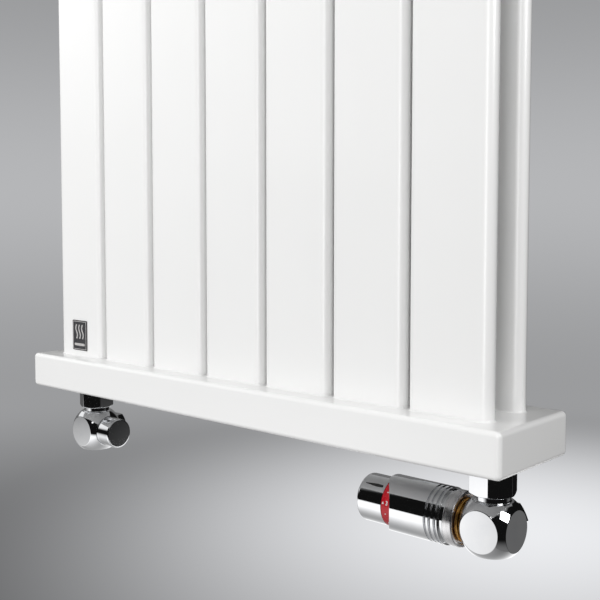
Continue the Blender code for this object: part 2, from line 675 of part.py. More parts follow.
# ---------------------------------------------------------------- inside the lockshield valve

PLUG_LOW = SEAT + 1.2
PLUG_RADIUS = 7.0
PLUG_HIGH = 8.5
LOCK_STEM_RADIUS = 3.6
LOCK_STEM_END = 29.0
LOCK_KEY = 4.0  # across the flats of the hexagon hole
BONNET_START = 10.0
BONNET_END = 25.0
BONNET_RADIUS = 11.5
BONNET_FLANGE_RADIUS = 12.5
BONNET_FLANGE_END = VALVE_HALF + 2.5
CAP_WALL = 1.8
CAP_CHAMFER = 0.8
CAP_FLOOR = CAP_LENGTH - 2.5


def make_lockshield(cap_axis):
    stem_bore = LOCK_STEM_RADIUS + STEM_CLEARANCE
    body_face = VALVE_HALF + GAP
    bonnet = [
        (BONNET_RADIUS, BONNET_END), (BONNET_RADIUS, BONNET_FLANGE_END),
        (BONNET_FLANGE_RADIUS, BONNET_FLANGE_END), (BONNET_FLANGE_RADIUS, body_face),
        (CHAMBER_RADIUS - GAP, body_face), (CHAMBER_RADIUS - GAP, BONNET_START),
        (stem_bore, BONNET_START), (stem_bore, BONNET_END),
    ]
    turned("lock_bonnet", bonnet, BRASS, cap_axis, 20)
    stem = [
        (0, LOCK_STEM_END), (LOCK_STEM_RADIUS, LOCK_STEM_END), (LOCK_STEM_RADIUS, PLUG_HIGH),
        (PLUG_RADIUS, PLUG_HIGH), (PLUG_RADIUS, PLUG_LOW + 1.5), (PLUG_RADIUS - 2, PLUG_LOW),
        (0, PLUG_LOW),
    ]
    spindle = turned("lock_spindle", stem, BRASS, cap_axis, 18)
    key_hole = extruded("key_hole", [hexagon(LOCK_KEY)], LOCK_STEM_END - 5, LOCK_STEM_END + 2, None, cap_axis)
    boolean(spindle, "DIFFERENCE", key_hole)
    bore = CAP_RADIUS - CAP_WALL
    cap = [
        (0, CAP_LENGTH), (CAP_RADIUS - CAP_CHAMFER, CAP_LENGTH), (CAP_RADIUS, CAP_LENGTH - CAP_CHAMFER),
        (CAP_RADIUS, body_face), (bore, body_face), (bore, CAP_FLOOR), (0, CAP_FLOOR),
    ]
    turned("lock_cap", cap, CHROME, cap_axis, 28)


# ---------------------------------------------------------------- assembly

RIGHT_NUT_TURN = 48.3  # angle of a corner of each union nut, seen from above
LEFT_NUT_TURN = 35.7

make_tubes()
bottom_header = make_header("bottom", 0, HEADER_HEIGHT)
for side, x in (("left", -VALVE_X), ("right", VALVE_X)):
    connection = rod("connection_" + side, INLET_RADIUS + GAP, -5, 10, None, 28, (x, VALVE_Y, 0))
    boolean(bottom_header, "DIFFERENCE", connection)
make_header("top", TOP_HEADER_Z, TOP_HEADER_Z)
make_badge()
make_plugs()
make_brackets()

head_line = axis("head_axis", (VALVE_X, VALVE_Y, -VALVE_DROP), (0, -90, 0))
cap_line = axis("cap_axis", (-VALVE_X, VALVE_Y, -VALVE_DROP), (0, 90, 0))
make_valve("trv", VALVE_X, RIGHT_NUT_TURN, head_line)
make_valve("lock", -VALVE_X, LEFT_NUT_TURN, cap_line)
make_thermostatic_insert(head_line)
make_head(head_line)
make_lockshield(cap_line)

for piece in parts.objects:
    if piece.type == "MESH":
        piece.data.shade_smooth()
        piece.data.set_sharp_from_angle(angle=math.radians(30))
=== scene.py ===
"""Looks for the flat-tube radiator with its two chrome corner valves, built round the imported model.

Pieces are shaped in millimetres round their own axis, then placed in the frame, which is in metres.
"""

import json
import math

import bmesh
import bpy
from mathutils import Matrix, Quaternion, Vector

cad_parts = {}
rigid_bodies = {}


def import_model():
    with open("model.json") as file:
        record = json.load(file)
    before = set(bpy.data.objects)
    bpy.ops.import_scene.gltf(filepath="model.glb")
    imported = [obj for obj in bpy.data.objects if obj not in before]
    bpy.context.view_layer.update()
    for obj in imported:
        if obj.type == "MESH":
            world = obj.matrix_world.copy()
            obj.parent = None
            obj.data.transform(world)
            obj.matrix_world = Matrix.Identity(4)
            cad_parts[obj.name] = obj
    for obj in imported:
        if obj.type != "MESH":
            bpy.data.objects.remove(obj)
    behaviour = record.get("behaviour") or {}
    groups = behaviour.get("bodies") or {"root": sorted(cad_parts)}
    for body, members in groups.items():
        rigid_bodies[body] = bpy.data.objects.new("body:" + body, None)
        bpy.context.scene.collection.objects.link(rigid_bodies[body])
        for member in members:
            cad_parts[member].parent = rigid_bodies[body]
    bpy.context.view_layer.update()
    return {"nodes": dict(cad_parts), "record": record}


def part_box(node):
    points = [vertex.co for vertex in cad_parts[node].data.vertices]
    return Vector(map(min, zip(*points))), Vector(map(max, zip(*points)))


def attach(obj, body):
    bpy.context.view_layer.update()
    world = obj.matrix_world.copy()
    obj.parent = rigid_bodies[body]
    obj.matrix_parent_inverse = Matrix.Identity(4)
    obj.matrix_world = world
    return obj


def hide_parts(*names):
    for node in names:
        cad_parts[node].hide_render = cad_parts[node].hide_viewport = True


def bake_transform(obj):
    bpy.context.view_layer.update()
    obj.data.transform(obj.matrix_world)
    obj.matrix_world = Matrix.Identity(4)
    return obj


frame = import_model()
MM = 0.001

# ---------------------------------------------------------------- places read from the frame


def span(node):
    """Lowest corner, highest corner and middle of a node's box."""
    low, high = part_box(node)
    return low, high, (low + high) / 2


HEADER_LOW, HEADER_HIGH, HEADER_MID = span("header_bottom")
HEADER_HALF = span("header_cap_bottom_right")[1].x
TOP_LOW, TOP_HIGH = span("header_top")[:2]
KNOB_MID = span("head_knob")[2]
CAP_MID = span("lock_cap")[2]
TRV = Vector((span("trv_union_nut")[2].x, KNOB_MID.y, KNOB_MID.z))  # where the valve's axes meet
LOCK = Vector((span("lock_union_nut")[2].x, CAP_MID.y, CAP_MID.z))
UNDERSIDE = HEADER_LOW.z

# Columns are where the local X, Y and Z axes point.
ALONG_HEAD = Matrix(((0, 0, -1), (0, 1, 0), (1, 0, 0)))
ALONG_CAP = Matrix(((0, 0, 1), (0, 1, 0), (-1, 0, 0)))
TO_WALL = Matrix(((1, 0, 0), (0, 0, 1), (0, -1, 0)))
UPRIGHT = Matrix.Identity(3)
ALONG_X = Matrix(((0, 0, 1), (1, 0, 0), (0, 1, 0)))
AGAINST_X = Matrix(((0, 0, -1), (-1, 0, 0), (0, 1, 0)))
TO_FRONT = Matrix(((1, 0, 0), (0, 0, -1), (0, 1, 0)))


def place(origin, axes=UPRIGHT):
    """From a piece's own millimetres to the frame's metres."""
    return Matrix.Translation(origin) @ axes.to_4x4() @ Matrix.Scale(MM, 4)


HEAD = place(TRV, ALONG_HEAD)
CAP = place(LOCK, ALONG_CAP)

# ---------------------------------------------------------------- sizes in millimetres, as in the solid model

VALVE_HALF = 20.0
VALVE_BALL = 25.5
SPIGOT_RADIUS = 13.2
PORT_RADIUS = 6.5
PIPE_RADIUS = 7.8
INLET_RADIUS = 10.4
INLET_REACH = 25.5
INLET_NUT_END = 30.5
UNION_FLATS = 32.0
UNION_TOP = -5.0
UNION_BOTTOM = -26.0
INLET_FLATS = 24.0
TRV_TURN = 48.3  # angles of the union nuts' corners
LOCK_TURN = 35.7
KNOB_RADIUS = 19.2
KNOB_START = 89.0
HEAD_LENGTH = 114.0
SLEEVE_RADIUS = 22.4
SLEEVE_START = 30.9
WINDOW_START = 78.4
WINDOW_SLANT = math.radians(36)
GROOVES = ((31.0, 34.4), (36.0, 37.8), (40.6, 42.4), (44.8, 46.6))
GROOVE_DEPTH = 1.9
CAP_RADIUS = 15.2
CAP_LENGTH = 38.5
DROP = (TRV.z - UNDERSIDE) / MM  # valve centre from the header's underside, below zero

# ---------------------------------------------------------------- materials


class Recipe:
    """A Principled material with helpers that hang procedural detail on it."""

    def __init__(self, name, colour, roughness, metallic=0.0, coat=0.0):
        self.material = bpy.data.materials.new(name)
        self.material.use_nodes = True
        self.nodes = self.material.node_tree.nodes
        self.links = self.material.node_tree.links
        self.shader = self.nodes["Principled BSDF"]
        self.shader.inputs["Base Color"].default_value = (*colour, 1)
        self.shader.inputs["Roughness"].default_value = roughness
        self.shader.inputs["Metallic"].default_value = metallic
        self.shader.inputs["Coat Weight"].default_value = coat
        self.bump_chain = None

    def place(self, stretch=(1, 1, 1)):
        """Object coordinates in metres, stretched to make the detail run one way."""
        where = self.nodes.new("ShaderNodeTexCoord")
        mapping = self.nodes.new("ShaderNodeMapping")
        mapping.inputs["Scale"].default_value = stretch
        self.links.new(where.outputs["Object"], mapping.inputs["Vector"])
        return mapping.outputs["Vector"]

    def noise(self, scale, detail=3.0, stretch=(1, 1, 1), roughness=0.55):
        made = self.nodes.new("ShaderNodeTexNoise")
        made.inputs["Scale"].default_value = scale
        made.inputs["Detail"].default_value = detail
        made.inputs["Roughness"].default_value = roughness
        self.links.new(self.place(stretch), made.inputs["Vector"])
        return made.outputs["Fac"]

    def rings(self, scale, direction, distortion=0.0):
        """Turning marks: fine bands along one axis."""
        made = self.nodes.new("ShaderNodeTexWave")
        made.bands_direction = direction
        made.inputs["Scale"].default_value = scale
        made.inputs["Distortion"].default_value = distortion
        self.links.new(self.place(), made.inputs["Vector"])
        return made.outputs["Fac"]

    def ramp(self, factor, low, high, start=0.3, end=0.7):
        """A colour that runs from low to high with factor."""
        made = self.nodes.new("ShaderNodeValToRGB")
        made.color_ramp.elements[0].position = start
        made.color_ramp.elements[1].position = end
        made.color_ramp.elements[0].color = (*low, 1)
        made.color_ramp.elements[1].color = (*high, 1)
        self.links.new(factor, made.inputs["Fac"])
        return made.outputs["Color"]

    def colour(self, factor, low, high, start=0.3, end=0.7):
        self.links.new(self.ramp(factor, low, high, start, end), self.shader.inputs["Base Color"])
        return self

    def gloss(self, factor, low, high):
        """Roughness that runs from low to high with factor."""
        made = self.nodes.new("ShaderNodeMapRange")
        made.inputs["From Min"].default_value = 0.3
        made.inputs["From Max"].default_value = 0.7
        made.inputs["To Min"].default_value = low
        made.inputs["To Max"].default_value = high
        self.links.new(factor, made.inputs["Value"])
        self.links.new(made.outputs["Result"], self.shader.inputs["Roughness"])
        return self

    def bump(self, factor, depth, strength=1.0):
        """Relief of this depth in metres, on top of any relief already there."""
        made = self.nodes.new("ShaderNodeBump")
        made.inputs["Distance"].default_value = depth
        made.inputs["Strength"].default_value = strength
        self.links.new(factor, made.inputs["Height"])
        if self.bump_chain is not None:
            self.links.new(self.bump_chain, made.inputs["Normal"])
        self.bump_chain = made.outputs["Normal"]
        self.links.new(self.bump_chain, self.shader.inputs["Normal"])
        return self


def powder_coat():
    """Gloss white powder coat with its fine orange peel."""
    coat = Recipe("white_powder_coat", (0.90, 0.90, 0.89), 0.36, coat=0.8)
    coat.shader.inputs["Coat Roughness"].default_value = 0.18
    coat.colour(coat.noise(9, 2), (0.895, 0.895, 0.890), (0.908, 0.908, 0.903))
    coat.gloss(coat.noise(60, 3), 0.34, 0.38)
    return coat.bump(coat.noise(900, 2), 0.00001, 0.2).material


def polished_chrome():
    """Bright chrome over a body that was polished by hand, so that it isn't quite even."""
    chrome = Recipe("polished_chrome", (0.80, 0.81, 0.83), 0.04, 1.0)
    chrome.colour(chrome.noise(70, 3), (0.78, 0.79, 0.81), (0.83, 0.835, 0.845))
    chrome.gloss(chrome.noise(220, 4), 0.02, 0.06)
    return chrome.bump(chrome.noise(120, 2), 0.00002, 0.12).material


def satin_chrome():
    """Collar turned to a fine satin, with marks that run round it."""
    satin = Recipe("satin_chrome", (0.72, 0.71, 0.72), 0.30, 1.0)
    satin.colour(satin.noise(420, 4, (1, 0.15, 0.15)), (0.70, 0.69, 0.70), (0.90, 0.89, 0.90))
    satin.gloss(satin.noise(700, 3, (1, 0.2, 0.2)), 0.22, 0.36)
    return satin.bump(satin.noise(2200, 2, (1, 0.08, 0.08)), 0.00003, 0.5).material


def machined_brass():
    brass = Recipe("machined_brass", (0.86, 0.50, 0.14), 0.30, 1.0)
    brass.colour(brass.noise(110, 4), (0.76, 0.38, 0.07), (0.93, 0.58, 0.20))
    brass.gloss(brass.noise(320, 3), 0.24, 0.40)
    return brass.bump(brass.rings(900, "X", 0.4), 0.00002, 0.35).material


def drawn_steel():
    steel = Recipe("drawn_steel", (0.60, 0.60, 0.61), 0.28, 1.0)
    steel.colour(steel.noise(200, 3), (0.55, 0.55, 0.56), (0.66, 0.66, 0.67))
    steel.gloss(steel.noise(600, 3, (0.15, 1, 1)), 0.22, 0.36)
    return steel.bump(steel.noise(1500, 2, (0.1, 1, 1)), 0.00001, 0.4).material


def zinc_plate():
    """Zinc plating with the soft spangle of passivated steel."""
    zinc = Recipe("zinc_plated_steel", (0.66, 0.68, 0.70), 0.40, 1.0)
    zinc.colour(zinc.noise(90, 5, roughness=0.7), (0.56, 0.58, 0.61), (0.74, 0.75, 0.74))
    zinc.gloss(zinc.noise(140, 4), 0.30, 0.50)
    return zinc.bump(zinc.noise(700, 3), 0.00002, 0.4).material


def black_rubber():
    rubber = Recipe("black_rubber", (0.020, 0.020, 0.021), 0.65)
    rubber.colour(rubber.noise(300, 3), (0.014, 0.014, 0.015), (0.030, 0.030, 0.031))
    rubber.gloss(rubber.noise(400, 3), 0.55, 0.75)
    return rubber.bump(rubber.noise(1200, 3), 0.00004, 0.4).material


def moulded_plastic(name, dark, light, roughness):
    plastic = Recipe(name, dark, roughness)
    plastic.colour(plastic.noise(120, 2), dark, light)
    plastic.gloss(plastic.noise(300, 3), roughness - 0.06, roughness + 0.06)
    return plastic.bump(plastic.noise(1600, 2), 0.00002, 0.3).material


def printed_paint(name, dark, light):
    """Pad-printed marks: flat, a little uneven in the film."""
    paint = Recipe(name, dark, 0.45)
    paint.colour(paint.noise(800, 2), dark, light)
    return paint.bump(paint.noise(2500, 2), 0.00001, 0.3).material


def badge_enamel():
    enamel = Recipe("badge_enamel", (0.085, 0.085, 0.09), 0.35, 0.3)
    enamel.colour(enamel.noise(240, 3), (0.07, 0.07, 0.075), (0.10, 0.10, 0.105))
    enamel.gloss(enamel.noise(400, 3), 0.30, 0.42)
    return enamel.bump(enamel.noise(1400, 2, (1, 1, 0.2)), 0.00001, 0.3).material


COAT = powder_coat()
CHROME = polished_chrome()
SATIN = satin_chrome()
BRASS = machined_brass()
STEEL = drawn_steel()
ZINC = zinc_plate()
RUBBER = black_rubber()
BLACK = moulded_plastic("black_plastic", (0.022, 0.022, 0.023), (0.034, 0.034, 0.035), 0.42)
RED = moulded_plastic("red_plastic", (0.50, 0.006, 0.016), (0.60, 0.010, 0.022), 0.28)
ENAMEL = badge_enamel()
WHITE_PRINT = printed_paint("white_print", (0.78, 0.78, 0.77), (0.88, 0.88, 0.87))
GREY_PRINT = printed_paint("grey_print", (0.52, 0.51, 0.50), (0.62, 0.61, 0.60))
BLACK_PRINT = printed_paint("black_print", (0.012, 0.012, 0.013), (0.022, 0.022, 0.022))

SLOT_LOOKS = {
    "white_coat": COAT, "chrome": CHROME, "satin_chrome": SATIN, "brass": BRASS, "steel": STEEL, "zinc": ZINC,
    "rubber": RUBBER, "black_plastic": BLACK, "red_plastic": RED, "badge": ENAMEL,
}

# ---------------------------------------------------------------- shaping

ARC_STEPS = 6
LARGE_FACE_WEIGHT = 80  # how strongly large faces lead the smooth normals


def rounded(corners, closed=True):
    """Points along a path of (x, y) or (x, y, radius) corners, each radius drawn as an arc."""
    path = []
    for k, corner in enumerate(corners):
        here = Vector(corner[:2])
        radius = corner[2] if len(corner) > 2 else 0
        if not radius or (not closed and k in (0, len(corners) - 1)):
            path.append(here)
            continue
        before = Vector(corners[k - 1][:2]) - here
        after = Vector(corners[(k + 1) % len(corners)][:2]) - here
        half = before.angle(after) / 2
        reach = min(radius / math.tan(half), 0.49 * before.length, 0.49 * after.length)
        bisector = (before.normalized() + after.normalized()).normalized()
        centre = here + bisector * reach / math.cos(half)
        start = here + before.normalized() * reach - centre
        end = here + after.normalized() * reach - centre
        sweep = math.atan2(start.x * end.y - start.y * end.x, start.dot(end))
        for step in range(ARC_STEPS + 1):
            path.append(centre + Matrix.Rotation(sweep * step / ARC_STEPS, 2) @ start)
    return path


def lathe(corners, steps=96):
    """A profile of (radius, height, corner radius) turned about Z, as a bmesh in millimetres.

    A profile that starts and ends on the axis makes a solid, and any other closes into a ring.
    """
    on_axis = corners[0][0] == 0
    shape = bmesh.new()
    ring = [shape.verts.new((max(p.x, 0), 0, p.y)) for p in rounded(corners, not on_axis)]
    edges = [shape.edges.new(pair) for pair in zip(ring, ring[1:])]
    if not on_axis:
        edges.append(shape.edges.new((ring[-1], ring[0])))
    bmesh.ops.spin(
        shape, geom=ring + edges, axis=(0, 0, 1), cent=(0, 0, 0), steps=steps, angle=math.tau, use_merge=True
    )
    bmesh.ops.remove_doubles(shape, verts=shape.verts, dist=1e-4)
    bmesh.ops.recalc_face_normals(shape, faces=shape.faces)
    return shape


def prism(outline, low, high, edge=0.0, segments=2):
    """A flat outline made thick along Z, with its rims rounded."""
    shape = bmesh.new()
    base = shape.faces.new([shape.verts.new((p[0], p[1], low)) for p in outline])
    grown = bmesh.ops.extrude_face_region(shape, geom=[base])
    bmesh.ops.translate(
        shape, verts=[v for v in grown["geom"] if isinstance(v, bmesh.types.BMVert)], vec=(0, 0, high - low)
    )
    bmesh.ops.recalc_face_normals(shape, faces=shape.faces)
    if edge:
        soften(shape, edge, segments)
    return shape


def soften(shape, width, segments=2, angle=30, chosen=None):
    """Rounds the sharp edges of a bmesh, or only those that chosen accepts."""
    limit = math.radians(angle)
    edges = [e for e in shape.edges if len(e.link_faces) == 2 and e.calc_face_angle() > limit]
    if chosen:
        edges = [e for e in edges if chosen(e)]
    bmesh.ops.bevel(
        shape, geom=edges, offset=width, segments=segments, profile=0.5, affect="EDGES", clamp_overlap=True
    )
    return shape


def hexagon(across_flats, turn=0.0, corner_radius=0.0):
    corner = across_flats / math.sqrt(3)
    angles = [math.radians(60 * k + turn) for k in range(6)]
    return rounded([(corner * math.cos(a), corner * math.sin(a), corner_radius) for a in angles])


def rounded_box(width, height, radius):
    x, y = width / 2, height / 2
    return rounded([(x, y, radius), (-x, y, radius), (-x, -y, radius), (x, -y, radius)])


def joined(first, operation, *others):
    """The union, intersection or difference of bmeshes, which are used up."""
    names = []
    for shape in (first, *others):
        mesh = bpy.data.meshes.new("working")
        shape.to_mesh(mesh)
        shape.free()
        names.append(bpy.data.objects.new("working", mesh))
        bpy.context.scene.collection.objects.link(names[-1])
    for tool in names[1:]:
        step = names[0].modifiers.new("combine", "BOOLEAN")
        step.operation = operation
        step.object = tool
    graph = bpy.context.evaluated_depsgraph_get()
    result = bmesh.new()
    result.from_mesh(names[0].evaluated_get(graph).to_mesh())
    for spent in names:
        bpy.data.objects.remove(spent, do_unlink=True)
    return result


def merged(*shapes):
    """Several bmeshes in one piece, each still its own closed body."""
    result = bmesh.new()
    for shape in shapes:
        mesh = bpy.data.meshes.new("working")
        shape.to_mesh(mesh)
        shape.free()
        result.from_mesh(mesh)
        bpy.data.meshes.remove(mesh)
    return result


def evaluated(name, curve):
    """The bmesh that a curve or a text makes."""
    holder = bpy.data.objects.new(name, curve)
    bpy.context.scene.collection.objects.link(holder)
    shape = bmesh.new()
    shape.from_mesh(holder.evaluated_get(bpy.context.evaluated_depsgraph_get()).to_mesh())
    bpy.data.objects.remove(holder, do_unlink=True)
    return shape


def moved(shape, matrix):
    bmesh.ops.transform(shape, matrix=matrix, verts=shape.verts)
    return shape


def piece(name, shape, where, look, body, slot, *nodes, sharp=35):
    """Turns a bmesh into a finished piece: placed, smoothed, painted, and riding on its body, if any."""
    moved(shape, where)
    mesh = bpy.data.meshes.new(name)
    shape.to_mesh(mesh)
    shape.free()
    mesh.shade_smooth()
    mesh.set_sharp_from_angle(angle=math.radians(sharp))
    made = bpy.data.objects.new(name, mesh)
    bpy.context.scene.collection.objects.link(made)
    made.data.materials.append(look)
    even = made.modifiers.new("even_normals", "WEIGHTED_NORMAL")
    even.keep_sharp = True
    even.weight = LARGE_FACE_WEIGHT
    if body:
        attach(made, body)
    if nodes:
        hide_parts(*nodes)
    return made


# ---------------------------------------------------------------- radiator

HEADER_EDGE = 4.0
FOOT_FLARE = 1.6  # radius of the painted weld round a tube's foot
FLARE_STEPS = 5
TUBE_SUNK = 1.5  # how far a tube's ends go into the headers


def build_header(level, low, high):
    size = Vector((2 * HEADER_HALF, high.y - low.y, high.z - low.z)) / MM
    shape = bmesh.new()
    bmesh.ops.create_cube(shape, size=1.0, matrix=Matrix.Diagonal((*size, 1)))
    bmesh.ops.bevel(
        shape, geom=shape.edges[:], offset=HEADER_EDGE, segments=8, profile=0.5, affect="EDGES"
    )
    middle = Vector((0, (low.y + high.y) / 2, (low.z + high.z) / 2))
    parts = [f"header_{level}", f"header_cap_{level}_left", f"header_cap_{level}_right"]
    piece(f"{level}_header_shell", shape, place(middle), COAT, "radiator", "white_coat", *parts)


def tube_section(width, depth, grow, arc=14):
    """Flat oval, anticlockwise, grown outwards by a margin."""
    straight = (width - depth) / 2
    radius = depth / 2 + grow
    points = []
    for side, first in ((1, -90), (-1, 90)):
        for step in range(arc + 1):
            angle = math.radians(first + 180 * step / arc)
            points.append((side * straight + radius * math.cos(angle), radius * math.sin(angle)))
    return points


def build_tube(row, number):
    """A flat-oval tube between the headers, with a smooth weld flare at each foot."""
    node = f"tube_{row}_{number}"
    low, high, middle = span(node)
    width, depth = (high.x - low.x) / MM, (high.y - low.y) / MM
    bottom, top = HEADER_HIGH.z / MM, TOP_LOW.z / MM
    flare = []
    for step in range(FLARE_STEPS + 1):
        angle = math.radians(90 * step / FLARE_STEPS)
        flare.append((FOOT_FLARE * (1 - math.sin(angle)), FOOT_FLARE * (1 - math.cos(angle))))
    levels = [(FOOT_FLARE, bottom - TUBE_SUNK)] + [(grow, bottom + rise) for grow, rise in flare]
    levels += [(grow, top - rise) for grow, rise in reversed(flare)] + [(FOOT_FLARE, top + TUBE_SUNK)]
    shape = bmesh.new()
    loops = [[shape.verts.new((x, y, z)) for x, y in tube_section(width, depth, grow)] for grow, z in levels]
    for under, over in zip(loops, loops[1:]):
        for k in range(len(under)):
            after = (k + 1) % len(under)
            shape.faces.new((under[k], under[after], over[after], over[k]))
    shape.faces.new(list(reversed(loops[0])))
    shape.faces.new(loops[-1])
    bmesh.ops.recalc_face_normals(shape, faces=shape.faces)
    where = place(Vector((middle.x, middle.y, 0)))
    piece(f"{row}_tube_{number}", shape, where, COAT, "radiator", "white_coat", node)


def build_radiator():
    build_header("bottom", HEADER_LOW, HEADER_HIGH)
    build_header("top", TOP_LOW, TOP_HIGH)
    count = sum(name.startswith("tube_front") for name in frame["nodes"])
    for row in ("front", "rear"):
        for number in range(1, count + 1):
            build_tube(row, number)


# ---------------------------------------------------------------- badge

BADGE_MARGIN = 1.0
BADGE_LINE = 0.5
WAVE_STEPS = 24
WAVE_FOOT = -3.5
WAVE_HEIGHT = 14.5
WAVE_SWING = 1.3
WAVE_WIDTH = 1.7
BAR_LEVEL = -9.5


def ribbon(points, width, low, high):
    """A thin flat strip along a line of (x, y) points."""
    left, right = [], []
    for k, (x, y) in enumerate(points):
        ahead = Vector(points[min(k + 1, len(points) - 1)]) - Vector(points[max(k - 1, 0)])
        side = Vector((-ahead.y, ahead.x)).normalized() * width / 2
        left.append((x + side.x, y + side.y))
        right.append((x - side.x, y - side.y))
    return prism(right + left[::-1], low, high)


def build_badge():
    """An enamelled plate with a thin raised frame and three waves of warm air over a bar."""
    low, high, middle = span("badge")
    width, height = (high.x - low.x) / MM, (high.z - low.z) / MM
    thickness = (high.y - low.y) / MM
    where = place(Vector((middle.x, high.y, middle.z)), TO_FRONT)
    plate = prism(rounded_box(width, height, 1.0), 0, thickness - 0.2, 0.15)
    piece("badge_plate", plate, where, ENAMEL, "radiator", "badge", "badge")
    base = thickness - 0.25
    outer_width, outer_height = width - 2 * BADGE_MARGIN, height - 2 * BADGE_MARGIN
    hole = rounded_box(outer_width - 2 * BADGE_LINE, outer_height - 2 * BADGE_LINE, 0.4)
    border = prism(rounded_box(outer_width, outer_height, 0.6), base, thickness)
    marks = [joined(border, "DIFFERENCE", prism(hole, 0, 2 * thickness))]
    for x in (-5, 0, 5):
        wave = []
        for step in range(WAVE_STEPS + 1):
            rise = step / WAVE_STEPS
            wave.append((x + WAVE_SWING * math.sin(math.tau * rise), WAVE_FOOT + WAVE_HEIGHT * rise))
        marks.append(ribbon(wave, WAVE_WIDTH, base, thickness))
    bar = prism(rounded_box(width - 7, 2.6, 0.8), base, thickness)
    marks.append(moved(bar, Matrix.Translation((0, BAR_LEVEL, 0))))
    piece("badge_waves", merged(*marks), where, GREY_PRINT, "radiator", "badge")


# ---------------------------------------------------------------- fittings in the ends of the top header

PLUG_THREAD = 10.3
PLUG_FLANGE = 13.0
PLUG_HEAD = 5.0
PLUG_DEPTH = -12
VENT_BORE = 4.2
VENT_KEY = 4
BLIND_KEY = 10


def build_plugs():
    level = span("vent_plug")[2].z
    right = place(Vector((HEADER_HALF, HEADER_MID.y, level)), ALONG_X)
    left = place(Vector((-HEADER_HALF, HEADER_MID.y, level)), AGAINST_X)
    rim = [
        (PLUG_FLANGE, PLUG_HEAD, 0.9), (PLUG_FLANGE, 0.3, 0.2), (PLUG_THREAD, 0.3), (PLUG_THREAD, PLUG_DEPTH),
    ]
    vent = lathe([(VENT_BORE, PLUG_HEAD, 0.4)] + rim + [(3, PLUG_DEPTH), (3, -6), (VENT_BORE, -4)])
    piece("vent_plug_body", vent, right, CHROME, "radiator", "chrome", "vent_plug")
    screw = lathe([(0, 3.5), (4, 3.5, 0.4), (4, -3.5), (1, -6), (0, -6)], 64)
    key = prism(rounded_box(VENT_KEY, VENT_KEY, 0.3), 0.5, PLUG_HEAD)
    screw = soften(joined(screw, "DIFFERENCE", key), 0.12, 2, 50)
    piece("vent_key_screw", screw, right, BRASS, "vent_screw", "brass", "vent_screw")
    blind = lathe([(0, PLUG_HEAD)] + rim + [(0, PLUG_DEPTH)])
    blind = joined(blind, "DIFFERENCE", prism(hexagon(BLIND_KEY), 0, PLUG_HEAD + 1))
    piece("blind_plug_body", blind, left, CHROME, "radiator", "chrome", "blind_plug")


# ---------------------------------------------------------------- copies of solid nodes with softened edges


def softened_node(name, node, look, body, slot, width, angle=40):
    """The node's own shape with its sharp edges rounded."""
    shape = bmesh.new()
    shape.from_mesh(frame["nodes"][node].data)
    bmesh.ops.remove_doubles(shape, verts=shape.verts, dist=1e-6)
    bmesh.ops.dissolve_limit(shape, angle_limit=math.radians(1), verts=shape.verts, edges=shape.edges)
    moved(shape, Matrix.Scale(1 / MM, 4))
    soften(shape, width, 2, angle)
    piece(name, shape, Matrix.Scale(MM, 4), look, body, slot, node)


def build_brackets():
    for level in ("bottom", "top"):
        for side in ("left", "right"):
            ending = f"{level}_{side}"
            softened_node(f"wall_bracket_{ending}", f"bracket_{ending}", ZINC, "radiator", "zinc", 0.5)
            softened_node(f"hanging_lug_{ending}", f"lug_{ending}", COAT, "radiator", "white_coat", 0.5)


# ---------------------------------------------------------------- parts that both valves have

STUB_ROOT = 12  # where the spigots start inside the ball
SPIGOT_COVER = 11  # how far a spigot goes up inside its union nut
PIPE_DEPTH = 8
CHAMBER_RADIUS = 11
TAIL_TOP = 10
NUT_LIP = 4


def ball_cube(half, ball, fillet, arc=24, rim=4, bands=8):
    """A cube whose corners are a ball's: six flat discs, each with a rounded rim, joined by the ball's skin.

    Each side of the cube is a fan of rings: across the disc, round its rim, and out over the ball to the
    edges that it shares with its neighbours.
    """
    rim_centre = math.sqrt((ball - fillet) ** 2 - (half - fillet) ** 2)
    first = math.radians(90)
    last = math.atan2(half - fillet, rim_centre)
    shape = bmesh.new()
    turns = [Matrix.Rotation(math.radians(90 * k), 3, "Y") for k in range(4)]
    turns += [Matrix.Rotation(math.radians(angle), 3, "X") for angle in (90, -90)]
    for turn in turns:
        rows = []
        for spoke in range(4 * arc):
            quarter, part = divmod(spoke, arc)
            bend = math.radians(-45 + 90 * part / arc)
            around = math.radians(90 * quarter) + bend
            out = Vector((math.cos(around), math.sin(around), 0))
            row = [out * rim_centre * 0.5 + Vector((0, 0, half))]
            for step in range(rim + 1):
                lean = first + (last - first) * step / rim
                level = half - fillet + fillet * math.sin(lean)
                row.append(out * (rim_centre + fillet * math.cos(lean)) + Vector((0, 0, level)))
            start = row[-1].normalized()
            edge = (out / math.cos(bend) + Vector((0, 0, 1))).normalized()
            for step in range(1, bands + 1):
                row.append(start.slerp(edge, step / bands) * ball)
            rows.append([shape.verts.new(turn @ p) for p in row])
        for row, other in zip(rows, rows[1:] + rows[:1]):
            for k in range(len(row) - 1):
                shape.faces.new((row[k], row[k + 1], other[k + 1], other[k]))
        shape.faces.new([row[0] for row in rows])
    bmesh.ops.remove_doubles(shape, verts=shape.verts, dist=1e-3)
    bmesh.ops.recalc_face_normals(shape, faces=shape.faces)
    return shape


def cylinder(radius, low, high, steps=96):
    return lathe([(0, high), (radius, high), (radius, low), (0, low)], steps)


